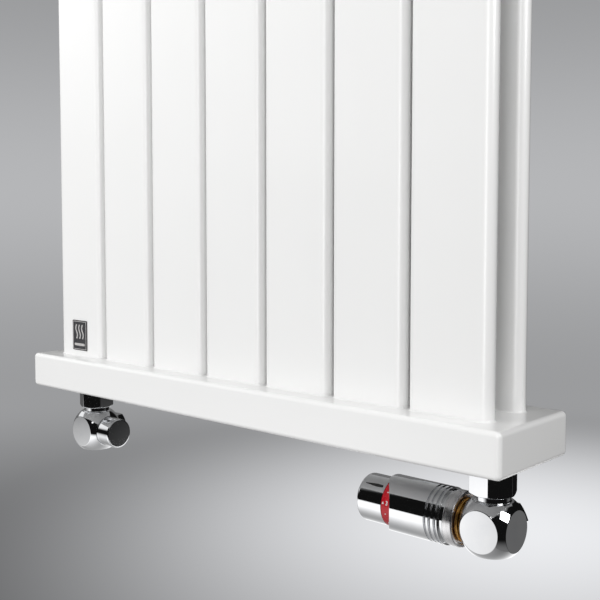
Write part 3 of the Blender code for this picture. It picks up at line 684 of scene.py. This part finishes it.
def hex_nut(flats, low, high, turn, bore, chamfer_angle=30):
    """A nut whose corners are turned away at both ends, with softened edges."""
    corner = flats / math.sqrt(3)
    inset = corner - flats / 2 + 0.5
    drop = inset * math.tan(math.radians(chamfer_angle))
    blank = [
        (corner - inset, high), (corner + 0.2, high - drop - 0.1), (corner + 0.2, low + drop + 0.1),
        (corner - inset, low),
    ]
    nut = joined(lathe(blank + bore, 120), "INTERSECT", prism(hexagon(flats, turn, 0.5), low - 1, high + 1))
    bmesh.ops.remove_doubles(nut, verts=nut.verts, dist=1e-3)
    return soften(nut, 0.22, 2, 24, lambda e: max(math.hypot(*v.co.xy) for v in e.verts) > flats / 2 - 0.6)


def build_valve(prefix, centre, union_turn, chamber_axes):
    """Body, union and pipe nut of one corner valve."""
    upright = place(Vector((centre.x, centre.y, UNDERSIDE)))
    inlet = place(centre, TO_WALL)
    spigot_top = UNION_BOTTOM + SPIGOT_COVER
    body = ball_cube(VALVE_HALF, VALVE_BALL, 0.9)
    spigot = lathe([
        (0, spigot_top - DROP), (SPIGOT_RADIUS, spigot_top - DROP, 0.3), (SPIGOT_RADIUS, VALVE_HALF, 0.9),
        (SPIGOT_RADIUS + 2, VALVE_HALF - 0.05), (SPIGOT_RADIUS + 2, STUB_ROOT), (0, STUB_ROOT),
    ])
    inlet_spigot = lathe([
        (0, INLET_REACH), (INLET_RADIUS, INLET_REACH, 0.3), (INLET_RADIUS, VALVE_HALF, 0.7),
        (INLET_RADIUS + 1.6, VALVE_HALF - 0.05), (INLET_RADIUS + 1.6, STUB_ROOT), (0, STUB_ROOT),
    ])
    body = joined(body, "UNION", spigot, moved(inlet_spigot, TO_WALL.to_4x4()))
    bores = [
        moved(cylinder(PIPE_RADIUS, INLET_REACH - PIPE_DEPTH, INLET_REACH + 5), TO_WALL.to_4x4()),
        moved(cylinder(PORT_RADIUS, -2, INLET_REACH - PIPE_DEPTH + 1), TO_WALL.to_4x4()),
        cylinder(PORT_RADIUS, -PORT_RADIUS + 1, spigot_top - DROP + 3),
        moved(cylinder(CHAMBER_RADIUS, 2, VALVE_HALF + 5), chamber_axes.to_4x4()),
    ]
    body = joined(body, "DIFFERENCE", *bores)
    node = f"{prefix}_body"
    piece(f"{prefix}_valve_body", body, place(centre), CHROME, "radiator", "chrome", node, sharp=25)

    lip = UNION_TOP - NUT_LIP
    bore = [(SPIGOT_RADIUS + 0.3, UNION_BOTTOM), (SPIGOT_RADIUS + 0.3, lip), (10.8, lip), (10.8, UNION_TOP)]
    nut = hex_nut(UNION_FLATS, UNION_BOTTOM, UNION_TOP, union_turn, bore)
    node = f"{prefix}_union_nut"
    piece(f"{prefix}_union_ring", nut, upright, CHROME, "radiator", "chrome", node, sharp=28)

    flange_top = lip - 0.3
    flange_bottom = flange_top - 3.5
    tail = lathe([
        (INLET_RADIUS, TAIL_TOP), (INLET_RADIUS, flange_top, 0.3), (SPIGOT_RADIUS, flange_top, 0.3),
        (SPIGOT_RADIUS, flange_bottom, 0.3), (PORT_RADIUS, flange_bottom), (PORT_RADIUS, TAIL_TOP),
    ])
    piece(f"{prefix}_union_tail", tail, upright, CHROME, "radiator", "chrome", f"{prefix}_tailpiece")

    low, high = VALVE_HALF + 1.5, INLET_NUT_END
    bore = [
        (INLET_RADIUS + 0.3, low), (INLET_RADIUS + 0.3, INLET_REACH + 0.3), (PIPE_RADIUS, INLET_REACH + 3.4),
        (PIPE_RADIUS, high),
    ]
    nut = hex_nut(INLET_FLATS, low, high, 0, bore)
    node = f"{prefix}_compression_nut"
    piece(f"{prefix}_pipe_nut", nut, inlet, CHROME, "radiator", "chrome", node, sharp=28)


# ---------------------------------------------------------------- thermostatic head
# Heights run outwards along the head, from the valve's vertical axis.

INSERT_FLANGE = 17
INSERT_THREAD = 14.0
THREAD_PITCH = 1.5
COLLAR_RADIUS = 21.5
COLLAR_END = 30.6
HUB_RADIUS = 15.2
SPRING_LOW, SPRING_HIGH = 11.3, 20.0
SPRING_WIRE = 0.45
SPRING_RADIUS = 4.6
SPRING_TURNS = 5
COIL_STEPS = 28


def build_insert():
    """Brass valve insert: a flange against the body, and the thread that the head's collar screws on to."""
    flange = VALVE_HALF + 2.5
    thread_end = 29.5
    outline = [
        (INSERT_FLANGE, VALVE_HALF + 0.3, 0.3), (INSERT_FLANGE, flange, 0.5), (INSERT_THREAD, flange),
    ]
    crest = flange + 0.4
    while crest + THREAD_PITCH < thread_end:
        outline += [
            (INSERT_THREAD, crest), (INSERT_THREAD + 0.7, crest + 0.55, 0.1),
            (INSERT_THREAD + 0.7, crest + 0.75, 0.1), (INSERT_THREAD, crest + 1.3),
        ]
        crest += THREAD_PITCH
    outline += [
        (14.2, thread_end, 0.4), (7, thread_end, 0.3), (7, 11), (2.3, 11), (2.3, 8), (10.7, 8, 0.4),
        (10.7, VALVE_HALF + 0.3),
    ]
    piece("brass_valve_insert", lathe(outline[::-1]), HEAD, BRASS, "radiator", "brass", "trv_insert")


def build_spring():
    """Return spring with closed ends, one end in the insert and the other at the stem."""
    curve = bpy.data.curves.new("spring", "CURVE")
    curve.dimensions = "3D"
    curve.bevel_depth = SPRING_WIRE
    curve.bevel_resolution = 4
    curve.use_fill_caps = True
    line = curve.splines.new("POLY")
    count = SPRING_TURNS * COIL_STEPS
    line.points.add(count)
    for step, point in enumerate(line.points):
        angle = math.tau * step / COIL_STEPS
        climb = (step - 0.5 * COIL_STEPS) / (count - COIL_STEPS)  # flat for half a turn at each end
        rise = SPRING_LOW + SPRING_WIRE + min(max(climb, 0), 1) * (SPRING_HIGH - SPRING_LOW - 2 * SPRING_WIRE)
        point.co = (SPRING_RADIUS * math.cos(angle), SPRING_RADIUS * math.sin(angle), rise, 1)
    shape = evaluated("spring", curve)
    bmesh.ops.remove_doubles(shape, verts=shape.verts, dist=1e-4)
    spring = piece("return_spring", shape, HEAD, STEEL, None, "steel", "trv_spring")
    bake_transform(spring)


def build_collar():
    collar = lathe([
        (COLLAR_RADIUS, COLLAR_END, 0.5), (COLLAR_RADIUS, 22.8, 0.9), (19.0, 22.8, 0.2), (18.2, 23.6, 0.2),
        (HUB_RADIUS, 23.6, 0.3), (HUB_RADIUS, COLLAR_END),
    ], 128)
    piece("head_collar_ring", collar, HEAD, SATIN, "radiator", "satin_chrome", "head_collar")


def build_sleeve():
    """The grooved sleeve, cut off at a slant so that the scale shows past its end."""
    inner = SLEEVE_RADIUS - GROOVE_DEPTH
    blank_end = KNOB_START + 3
    outside = [(SLEEVE_RADIUS, blank_end)]
    for low, high in reversed(GROOVES[1:]):
        outside += [(SLEEVE_RADIUS, high, 0.35), (inner, high, 0.3)]
        outside += [(inner, low, 0.3), (SLEEVE_RADIUS, low, 0.35)]
    shoulder = GROOVES[0][1]
    outside += [(SLEEVE_RADIUS, shoulder, 0.4), (inner, shoulder, 0.3), (inner, SLEEVE_START, 0.4)]
    inside = [(HUB_RADIUS, SLEEVE_START, 0.2), (HUB_RADIUS, SLEEVE_START + 2.5)]
    inside += [(20, SLEEVE_START + 4), (20, blank_end)]
    sleeve = lathe(outside + inside, 180)
    reach = 60
    knife = bmesh.new()
    bmesh.ops.create_cube(knife, size=2 * reach)
    slant = Matrix.Rotation(WINDOW_SLANT, 4, "X")
    cut_point = Vector((0, -SLEEVE_RADIUS, WINDOW_START))
    moved(knife, Matrix.Translation(cut_point) @ slant @ Matrix.Translation((0, 0, reach)))
    end = bmesh.new()
    bmesh.ops.create_cube(end, size=2 * reach, matrix=Matrix.Translation((0, 0, KNOB_START + reach)))
    sleeve = joined(sleeve, "DIFFERENCE", knife, end)
    normal = slant.to_3x3() @ Vector((0, 0, 1))

    def on_rim(edge):
        return all(
            abs((v.co - cut_point).dot(normal)) < 1e-3 or abs(v.co.z - KNOB_START) < 1e-3 for v in edge.verts
        )

    bmesh.ops.remove_doubles(sleeve, verts=sleeve.verts, dist=1e-3)
    soften(sleeve, 0.3, 2, 20, on_rim)
    piece("head_sleeve_shell", sleeve, HEAD, CHROME, "radiator", "chrome", "head_sleeve", sharp=32)


def round_head(shape, radius, angle, along):
    """Wraps a flat mark round the head: X towards the valve, Y round the ring, Z out of it."""
    for vert in shape.verts:
        turn = math.radians(angle) + vert.co.y / radius
        out = radius + vert.co.z
        vert.co = (out * math.sin(turn), -out * math.cos(turn), along - vert.co.x)
    bmesh.ops.recalc_face_normals(shape, faces=shape.faces)
    return shape


def numeral(text, size, thickness):
    """A raised numeral, centred on the origin."""
    curve = bpy.data.curves.new("numeral", "FONT")
    curve.body = text
    curve.size = size
    curve.align_x = "CENTER"
    curve.align_y = "CENTER"
    curve.extrude = thickness / 2
    curve.offset = 0.12
    shape = evaluated("numeral", curve)
    bmesh.ops.remove_doubles(shape, verts=shape.verts, dist=1e-4)
    return moved(shape, Matrix.Translation((0, 0, thickness / 2)))


MARK_SPACING = 26.0  # degrees between a numeral and the dot beside it
MARK_LEVEL = 12.0  # angle of the middle numeral above the front
MARK_HEIGHT = 0.14
NUMERAL_SIZE = 4.6
DOT_RADIUS = 0.55
DOT_STEPS = 20
DOT_PLACE, NUMERAL_PLACE, TRIANGLE_PLACE = 84.6, 83.4, 87.0


def build_scale():
    """Red ring with five raised numerals, dots between them and a triangle at the middle one."""
    ring = lathe([
        (KNOB_RADIUS, 88.7, 0.3), (KNOB_RADIUS, 72, 0.5), (17.4, 72), (17.4, 88.7),
    ], 128)
    piece("scale_ring_red", ring, HEAD, RED, "radiator", "red_plastic", "head_scale_ring")
    marks = []
    for step in range(-4, 5):
        angle = MARK_LEVEL - step * MARK_SPACING
        if step % 2:
            turns = [math.tau * k / DOT_STEPS for k in range(DOT_STEPS)]
            rim = [(DOT_RADIUS * math.cos(a), DOT_RADIUS * math.sin(a)) for a in turns]
            mark = prism(rim, 0, MARK_HEIGHT)
            marks.append(round_head(mark, KNOB_RADIUS, angle, DOT_PLACE))
        else:
            mark = numeral(str(3 + step // 2), NUMERAL_SIZE, MARK_HEIGHT)
            marks.append(round_head(mark, KNOB_RADIUS, angle, NUMERAL_PLACE))
    triangle = prism(rounded([(-1.1, -1.0, 0.1), (1.1, -1.0, 0.1), (0, 1.2, 0.1)]), 0, MARK_HEIGHT)
    marks.append(round_head(triangle, KNOB_RADIUS, MARK_LEVEL, TRIANGLE_PLACE))
    piece("scale_marks", merged(*marks), HEAD, WHITE_PRINT, "radiator", "red_plastic", sharp=30)


POINTER_ANGLE = 50.0  # the knob's mark, above the front
POINTER_PLACE = 100
KNOB_SPIGOT = 13.8
KNOB_REACH = 64


def build_knob():
    underside = HEAD_LENGTH - 3
    knob = lathe([
        (0, HEAD_LENGTH), (KNOB_RADIUS, HEAD_LENGTH, 2.5), (KNOB_RADIUS, KNOB_START, 0.3),
        (KNOB_RADIUS - 2, KNOB_START, 0.2), (KNOB_RADIUS - 2, underside, 0.5), (KNOB_SPIGOT, underside, 0.5),
        (KNOB_SPIGOT, KNOB_REACH), (KNOB_SPIGOT - 2, KNOB_REACH), (KNOB_SPIGOT - 2, underside),
        (0, underside),
    ], 160)
    piece("setting_knob", knob, HEAD, CHROME, "knob", "chrome", "head_knob")
    leaf = [(-8.5, -0.3, 0.2), (2, -1.4, 3), (8.5, -1.1, 0.8), (8.5, 1.1, 0.8), (2, 1.4, 3), (-8.5, 0.3, 0.2)]
    mark = prism(rounded(leaf), 0, 0.1)
    round_head(mark, KNOB_RADIUS, POINTER_ANGLE, POINTER_PLACE)
    piece("knob_pointer", mark, HEAD, BLACK_PRINT, "knob", "black_plastic", sharp=30)


def build_chassis():
    """Black cage inside the sleeve that carries the scale and guides the knob."""
    floor = SLEEVE_START + 4.2
    bore = 14.2
    outline = [
        (17, KNOB_START - 0.5, 0.3), (17, floor, 0.4), (14.8, floor), (14.8, SLEEVE_START, 0.3),
        (2.5, SLEEVE_START), (2.5, floor + 3, 0.3), (bore, floor + 3), (bore, KNOB_START - 0.5),
    ]
    piece("head_cage", lathe(outline, 96), HEAD, BLACK, "radiator", "black_plastic", "head_chassis")


# ---------------------------------------------------------------- lockshield


def build_lockshield():
    seat = VALVE_HALF + 0.3
    inner, underside = CAP_RADIUS - 1.8, CAP_LENGTH - 2.5
    cap = lathe([
        (0, CAP_LENGTH), (CAP_RADIUS, CAP_LENGTH, 1.5), (CAP_RADIUS, seat, 0.3), (inner, seat, 0.3),
        (inner, underside, 0.6), (0, underside),
    ], 160)
    piece("lockshield_cover", cap, CAP, CHROME, "lockshield_cap", "chrome", "lock_cap")
    bonnet = lathe([
        (3.9, 25, 0.3), (11.5, 25, 0.6), (11.5, 22.5, 0.2), (12.5, 22.5, 0.3), (12.5, seat, 0.2),
        (10.7, seat), (10.7, 10, 0.4), (3.9, 10),
    ])
    piece("lockshield_bonnet", bonnet, CAP, BRASS, "radiator", "brass", "lock_bonnet")
    stem = lathe([(0, 29), (3.6, 29, 0.4), (3.6, 8.5), (7, 8.5, 0.3), (7, 4.7, 0.2), (5, 3.2), (0, 3.2)], 64)
    stem = joined(stem, "DIFFERENCE", prism(hexagon(4), 24, 31))
    piece("lockshield_stem", stem, CAP, BRASS, "lockshield_spindle", "brass", "lock_spindle")


# ---------------------------------------------------------------- stage, light and camera


def step_between(tree, value, low, high):
    """Smooth step from 0 at low to 1 at high."""
    made = tree.nodes.new("ShaderNodeMapRange")
    made.interpolation_type = "SMOOTHSTEP"
    if low > high:
        low, high = high, low
        made.inputs["To Min"].default_value = 1
        made.inputs["To Max"].default_value = 0
    made.inputs["From Min"].default_value = low
    made.inputs["From Max"].default_value = high
    tree.links.new(value, made.inputs["Value"])
    return made.outputs["Result"]


def calculated(tree, operation, *values):
    made = tree.nodes.new("ShaderNodeMath")
    made.operation = operation
    for socket, value in zip(made.inputs, values):
        if isinstance(value, (int, float)):
            socket.default_value = value
        else:
            tree.links.new(value, socket)
    return made.outputs[0]


def vector_math(tree, operation, vector, constant=(0, 0, 0)):
    made = tree.nodes.new("ShaderNodeVectorMath")
    made.operation = operation
    tree.links.new(vector, made.inputs[0])
    made.inputs[1].default_value = constant
    return made


def towards(azimuth, elevation):
    """Unit vector; azimuth 0 is +X and -90 is the front."""
    a, e = math.radians(azimuth), math.radians(elevation)
    return Vector((math.cos(a) * math.cos(e), math.sin(a) * math.cos(e), math.sin(e)))


def glowing(name):
    """A material that only emits, and the pieces of its tree."""
    made = bpy.data.materials.new(name)
    made.use_nodes = True
    tree = made.node_tree
    tree.nodes.clear()
    glow = tree.nodes.new("ShaderNodeEmission")
    output = tree.nodes.new("ShaderNodeOutputMaterial")
    tree.links.new(glow.outputs[0], output.inputs["Surface"])
    where = tree.nodes.new("ShaderNodeNewGeometry").outputs["Position"]
    made.cycles.emission_sampling = "NONE"
    return made, tree, glow, where


def stage_object(name, shape, look, seen_by):
    """A piece of the studio, hidden from every kind of ray but one."""
    mesh = bpy.data.meshes.new(name)
    shape.to_mesh(mesh)
    shape.free()
    mesh.shade_smooth()
    mesh.materials.append(look)
    made = bpy.data.objects.new(name, mesh)
    bpy.context.scene.collection.objects.link(made)
    for ray in ("camera", "diffuse", "glossy", "transmission", "shadow"):
        if ray != seen_by:
            setattr(made, f"visible_{ray}", False)
    return made


FLOOR = -0.75
TABLE_LEVEL = -0.25
TABLE_HALF = 1.9
TABLE_RIGHT_END = 0.35
BOWL_RADIUS = 6.5
BOWL_CORNER = 2.0
BOWL_TOP = 9
BOWL_STEPS = 24
DARKEST = 0.006
LIGHT_FROM_ABOVE = 0.38
LIGHT_FROM_BELOW = 0.42
GLOW_SPOT = Vector((-0.72, 1.75, FLOOR))


def build_backdrop():
    """Pale floor that sweeps up into a round wall; it only glows, with a painted pool of light on it."""
    made, tree, glow, where = glowing("studio_backdrop")
    split = tree.nodes.new("ShaderNodeSeparateXYZ")
    tree.links.new(where, split.inputs[0])
    level = split.outputs["Z"]
    flat = vector_math(tree, "MULTIPLY", where, (1, 1, 0)).outputs["Vector"]
    radius = vector_math(tree, "LENGTH", flat).outputs["Value"]
    # Painted light: darker near the middle and lighter further out, a painted pool of light round GLOW_SPOT,
    # and a painted lighter band that peaks near the object's height.
    base = calculated(tree, "MULTIPLY_ADD", step_between(tree, radius, 1.2, 4.0), 0.23, 0.10)
    pool = step_between(tree, vector_math(tree, "DISTANCE", where, GLOW_SPOT).outputs["Value"], 1.75, 0.0)
    below = step_between(tree, level, -0.95, 0.35)
    above = step_between(tree, level, 2.1, 0.35)
    band = calculated(tree, "MULTIPLY", calculated(tree, "MULTIPLY", below, above), 0.15)
    tone = calculated(tree, "MULTIPLY_ADD", pool, 0.72, calculated(tree, "ADD", base, band))
    tree.links.new(tone, glow.inputs["Strength"])
    glow.inputs["Color"].default_value = (0.965, 0.975, 1.0, 1)
    outline = [(0, FLOOR)]
    for step in range(BOWL_STEPS + 1):
        angle = math.radians(-90 + 90 * step / BOWL_STEPS)
        out = BOWL_RADIUS - BOWL_CORNER + BOWL_CORNER * math.cos(angle)
        outline.append((out, FLOOR + BOWL_CORNER + BOWL_CORNER * math.sin(angle)))
    outline.append((BOWL_RADIUS, BOWL_TOP))
    stage_object("studio_backdrop", lathe(outline), made, "camera")


def build_reflections():
    """What glossy surfaces see round them: a dark room with a lamp, a white card on the left, grey cards."""
    made, tree, glow, where = glowing("studio_reflections")
    out = vector_math(tree, "NORMALIZE", vector_math(tree, "SUBTRACT", where, TRV).outputs["Vector"])
    direction = out.outputs["Vector"]
    flat = vector_math(tree, "MULTIPLY", direction, (1, 1, 0)).outputs["Vector"]
    heading = vector_math(tree, "NORMALIZE", flat).outputs["Vector"]
    split = tree.nodes.new("ShaderNodeSeparateXYZ")
    tree.links.new(direction, split.inputs[0])
    rise = split.outputs["Z"]

    def side(azimuth, inner, outer):
        """1 within inner degrees of a compass direction, 0 beyond outer, at any height."""
        facing = vector_math(tree, "DOT_PRODUCT", heading, towards(azimuth, 0)).outputs["Value"]
        return step_between(tree, facing, math.cos(math.radians(outer)), math.cos(math.radians(inner)))

    def height(first, last):
        """0 at the first elevation, 1 at the last."""
        return step_between(tree, rise, math.sin(math.radians(first)), math.sin(math.radians(last)))

    def layer(strength, *masks):
        value = masks[0]
        for mask in masks[1:]:
            value = calculated(tree, "MULTIPLY", value, mask)
        return calculated(tree, "MULTIPLY", value, strength)

    facing = vector_math(tree, "DOT_PRODUCT", direction, towards(-70, 41)).outputs["Value"]
    lamp = step_between(tree, facing, math.cos(math.radians(6)), math.cos(math.radians(3)))
    white_card = layer(1.0, side(-175, 20, 42), height(8, 18), height(58, 30))
    low_card_behind = layer(0.13, side(78, 18, 45), height(-8, -17), height(-70, -40))
    ground = layer(0.16, height(-26, -62))
    card_behind_left = layer(0.17, side(150, 25, 40), height(-14, -10), height(75, 40))
    ceiling = layer(0.27, height(48, 56))
    total = layer(1.3, lamp)
    for other in (white_card, low_card_behind, ground, card_behind_left, ceiling):
        total = calculated(tree, "MAXIMUM", total, other)
    tree.links.new(calculated(tree, "ADD", total, DARKEST), glow.inputs["Strength"])
    shape = bmesh.new()
    bmesh.ops.create_icosphere(shape, subdivisions=5, radius=4.0)
    stage_object("studio_reflections", shape, made, "glossy")


def build_table():
    """What glossy surfaces see below them: a white table that darkens to the right and under the object."""
    made, tree, glow, where = glowing("studio_table")
    split = tree.nodes.new("ShaderNodeSeparateXYZ")
    tree.links.new(where, split.inputs[0])
    along, depth = split.outputs["X"], split.outputs["Y"]
    off_centre = calculated(tree, "ABSOLUTE", calculated(tree, "SUBTRACT", depth, TRV.y))
    shadow = calculated(tree, "MULTIPLY_ADD", step_between(tree, off_centre, 0.0, 0.30), 0.70, 0.30)
    white = calculated(tree, "MULTIPLY", shadow, 1.35)
    slanted = calculated(tree, "MULTIPLY_ADD", depth, -0.6, along)  # constant along the slanted right end
    fades = ((slanted, 0.67, 0.12), (along, -1.6, -0.1), (depth, -1.30, -1.22), (depth, 0.55, 0.30))
    for value, low, high in fades:
        white = calculated(tree, "MULTIPLY", white, step_between(tree, value, low, high))
    grey = calculated(tree, "MULTIPLY", step_between(tree, off_centre, 0.5, 0.15), 0.13)
    total = calculated(tree, "MAXIMUM", white, grey)
    tree.links.new(calculated(tree, "ADD", total, DARKEST), glow.inputs["Strength"])
    shape = bmesh.new()
    bmesh.ops.create_grid(shape, x_segments=1, y_segments=1, size=TABLE_HALF)
    table = stage_object("studio_table", shape, made, "glossy")
    table.location = (TABLE_RIGHT_END - TABLE_HALF, 0, TABLE_LEVEL)


def area_light(name, spot, target, size, radiance, glossy, roll=0.0, tall=0.0):
    """A light panel, square unless tall is given. Radiance is its brightness, as the dome's strengths are."""
    lamp = bpy.data.lights.new(name, "AREA")
    lamp.shape = "RECTANGLE"
    lamp.size = size
    lamp.size_y = tall or size
    lamp.energy = radiance * math.pi * size * (tall or size)
    made = bpy.data.objects.new(name, lamp)
    bpy.context.scene.collection.objects.link(made)
    made.location = spot
    made.rotation_mode = "QUATERNION"
    aim = (target - spot).to_track_quat("-Z", "Y")
    made.rotation_quaternion = aim @ Quaternion((0, 0, 1), math.radians(roll))
    made.visible_camera = False
    made.visible_glossy = glossy
    return made


def build_strip_light():
    """A tall strip from the front right that lights only the white coat, and draws a line down each edge."""
    spot, target = Vector((0.9, -1.93, 0.45)), Vector((0.1, -0.1, 0.3))
    strip = area_light("edge_strip", spot, target, size=0.45, radiance=4.1, glossy=True, tall=1.6)
    coated = bpy.data.collections.new("coated_pieces")
    for item in bpy.context.scene.objects:
        if item.type == "MESH" and COAT in list(item.data.materials):
            coated.objects.link(item)
    strip.light_linking.receiver_collection = coated


def build_world():
    """Soft light from above at the front right, and a weaker one from below at the front."""
    world = bpy.data.worlds.new("studio")
    bpy.context.scene.world = world
    world.use_nodes = True
    tree = world.node_tree
    background = tree.nodes["Background"]
    background.inputs["Color"].default_value = (1.0, 1.0, 1.0, 1)
    direction = tree.nodes.new("ShaderNodeTexCoord").outputs["Generated"]
    facing = vector_math(tree, "DOT_PRODUCT", direction, towards(-74, 46)).outputs["Value"]
    sky = calculated(tree, "MULTIPLY", step_between(tree, facing, -0.2, 1.0), LIGHT_FROM_ABOVE)
    falling = vector_math(tree, "DOT_PRODUCT", direction, towards(-90, -52)).outputs["Value"]
    strength = calculated(tree, "MULTIPLY_ADD", step_between(tree, falling, 0.1, 0.9), LIGHT_FROM_BELOW, sky)
    tree.links.new(strength, background.inputs["Strength"])


def build_camera():
    lens = bpy.data.cameras.new("camera")
    camera = bpy.data.objects.new("camera", lens)
    bpy.context.scene.collection.objects.link(camera)
    bpy.context.scene.camera = camera
    lens.sensor_width = 36
    lens.lens = 57.3
    lens.shift_x = 0.015
    lens.shift_y = -0.045
    camera.location = (0.597, -0.6983, 0.1811)
    yaw, pitch, roll = 0.7336, 0.0622, -0.0001
    camera.rotation_mode = "QUATERNION"
    turn = Matrix.Rotation(yaw, 3, "Z") @ Matrix.Rotation(math.radians(90) - pitch, 3, "X")
    camera.rotation_quaternion = (turn @ Matrix.Rotation(roll, 3, "Z")).to_quaternion()


def paint_the_rest():
    """Every solid node that still shows gets the procedural look of its slot."""
    for part in frame["record"]["subparts"]:
        node = frame["nodes"][part["node"]]
        if node.hide_render:
            continue
        node.data.materials.clear()
        node.data.materials.append(SLOT_LOOKS[part["material_slot"]])


bpy.context.scene.view_settings.view_transform = "Standard"
build_camera()
build_radiator()
build_badge()
build_plugs()
build_brackets()
build_valve("trv", TRV, TRV_TURN, ALONG_HEAD)
build_valve("lock", LOCK, LOCK_TURN, ALONG_CAP)
build_insert()
build_spring()
build_collar()
build_sleeve()
build_scale()
build_knob()
build_chassis()
build_lockshield()
paint_the_rest()
build_backdrop()
build_reflections()
build_table()
area_light("right_softbox", TRV + towards(-5, 41) * 1.1, TRV, size=0.56, radiance=5.6, glossy=True, roll=45)
left_spot, left_target = Vector((-0.75, -1.2, 0.65)), Vector((-0.2, 0, 0.2))
area_light("left_panel", left_spot, left_target, size=0.7, radiance=7.5, glossy=False)
build_strip_light()
build_world()
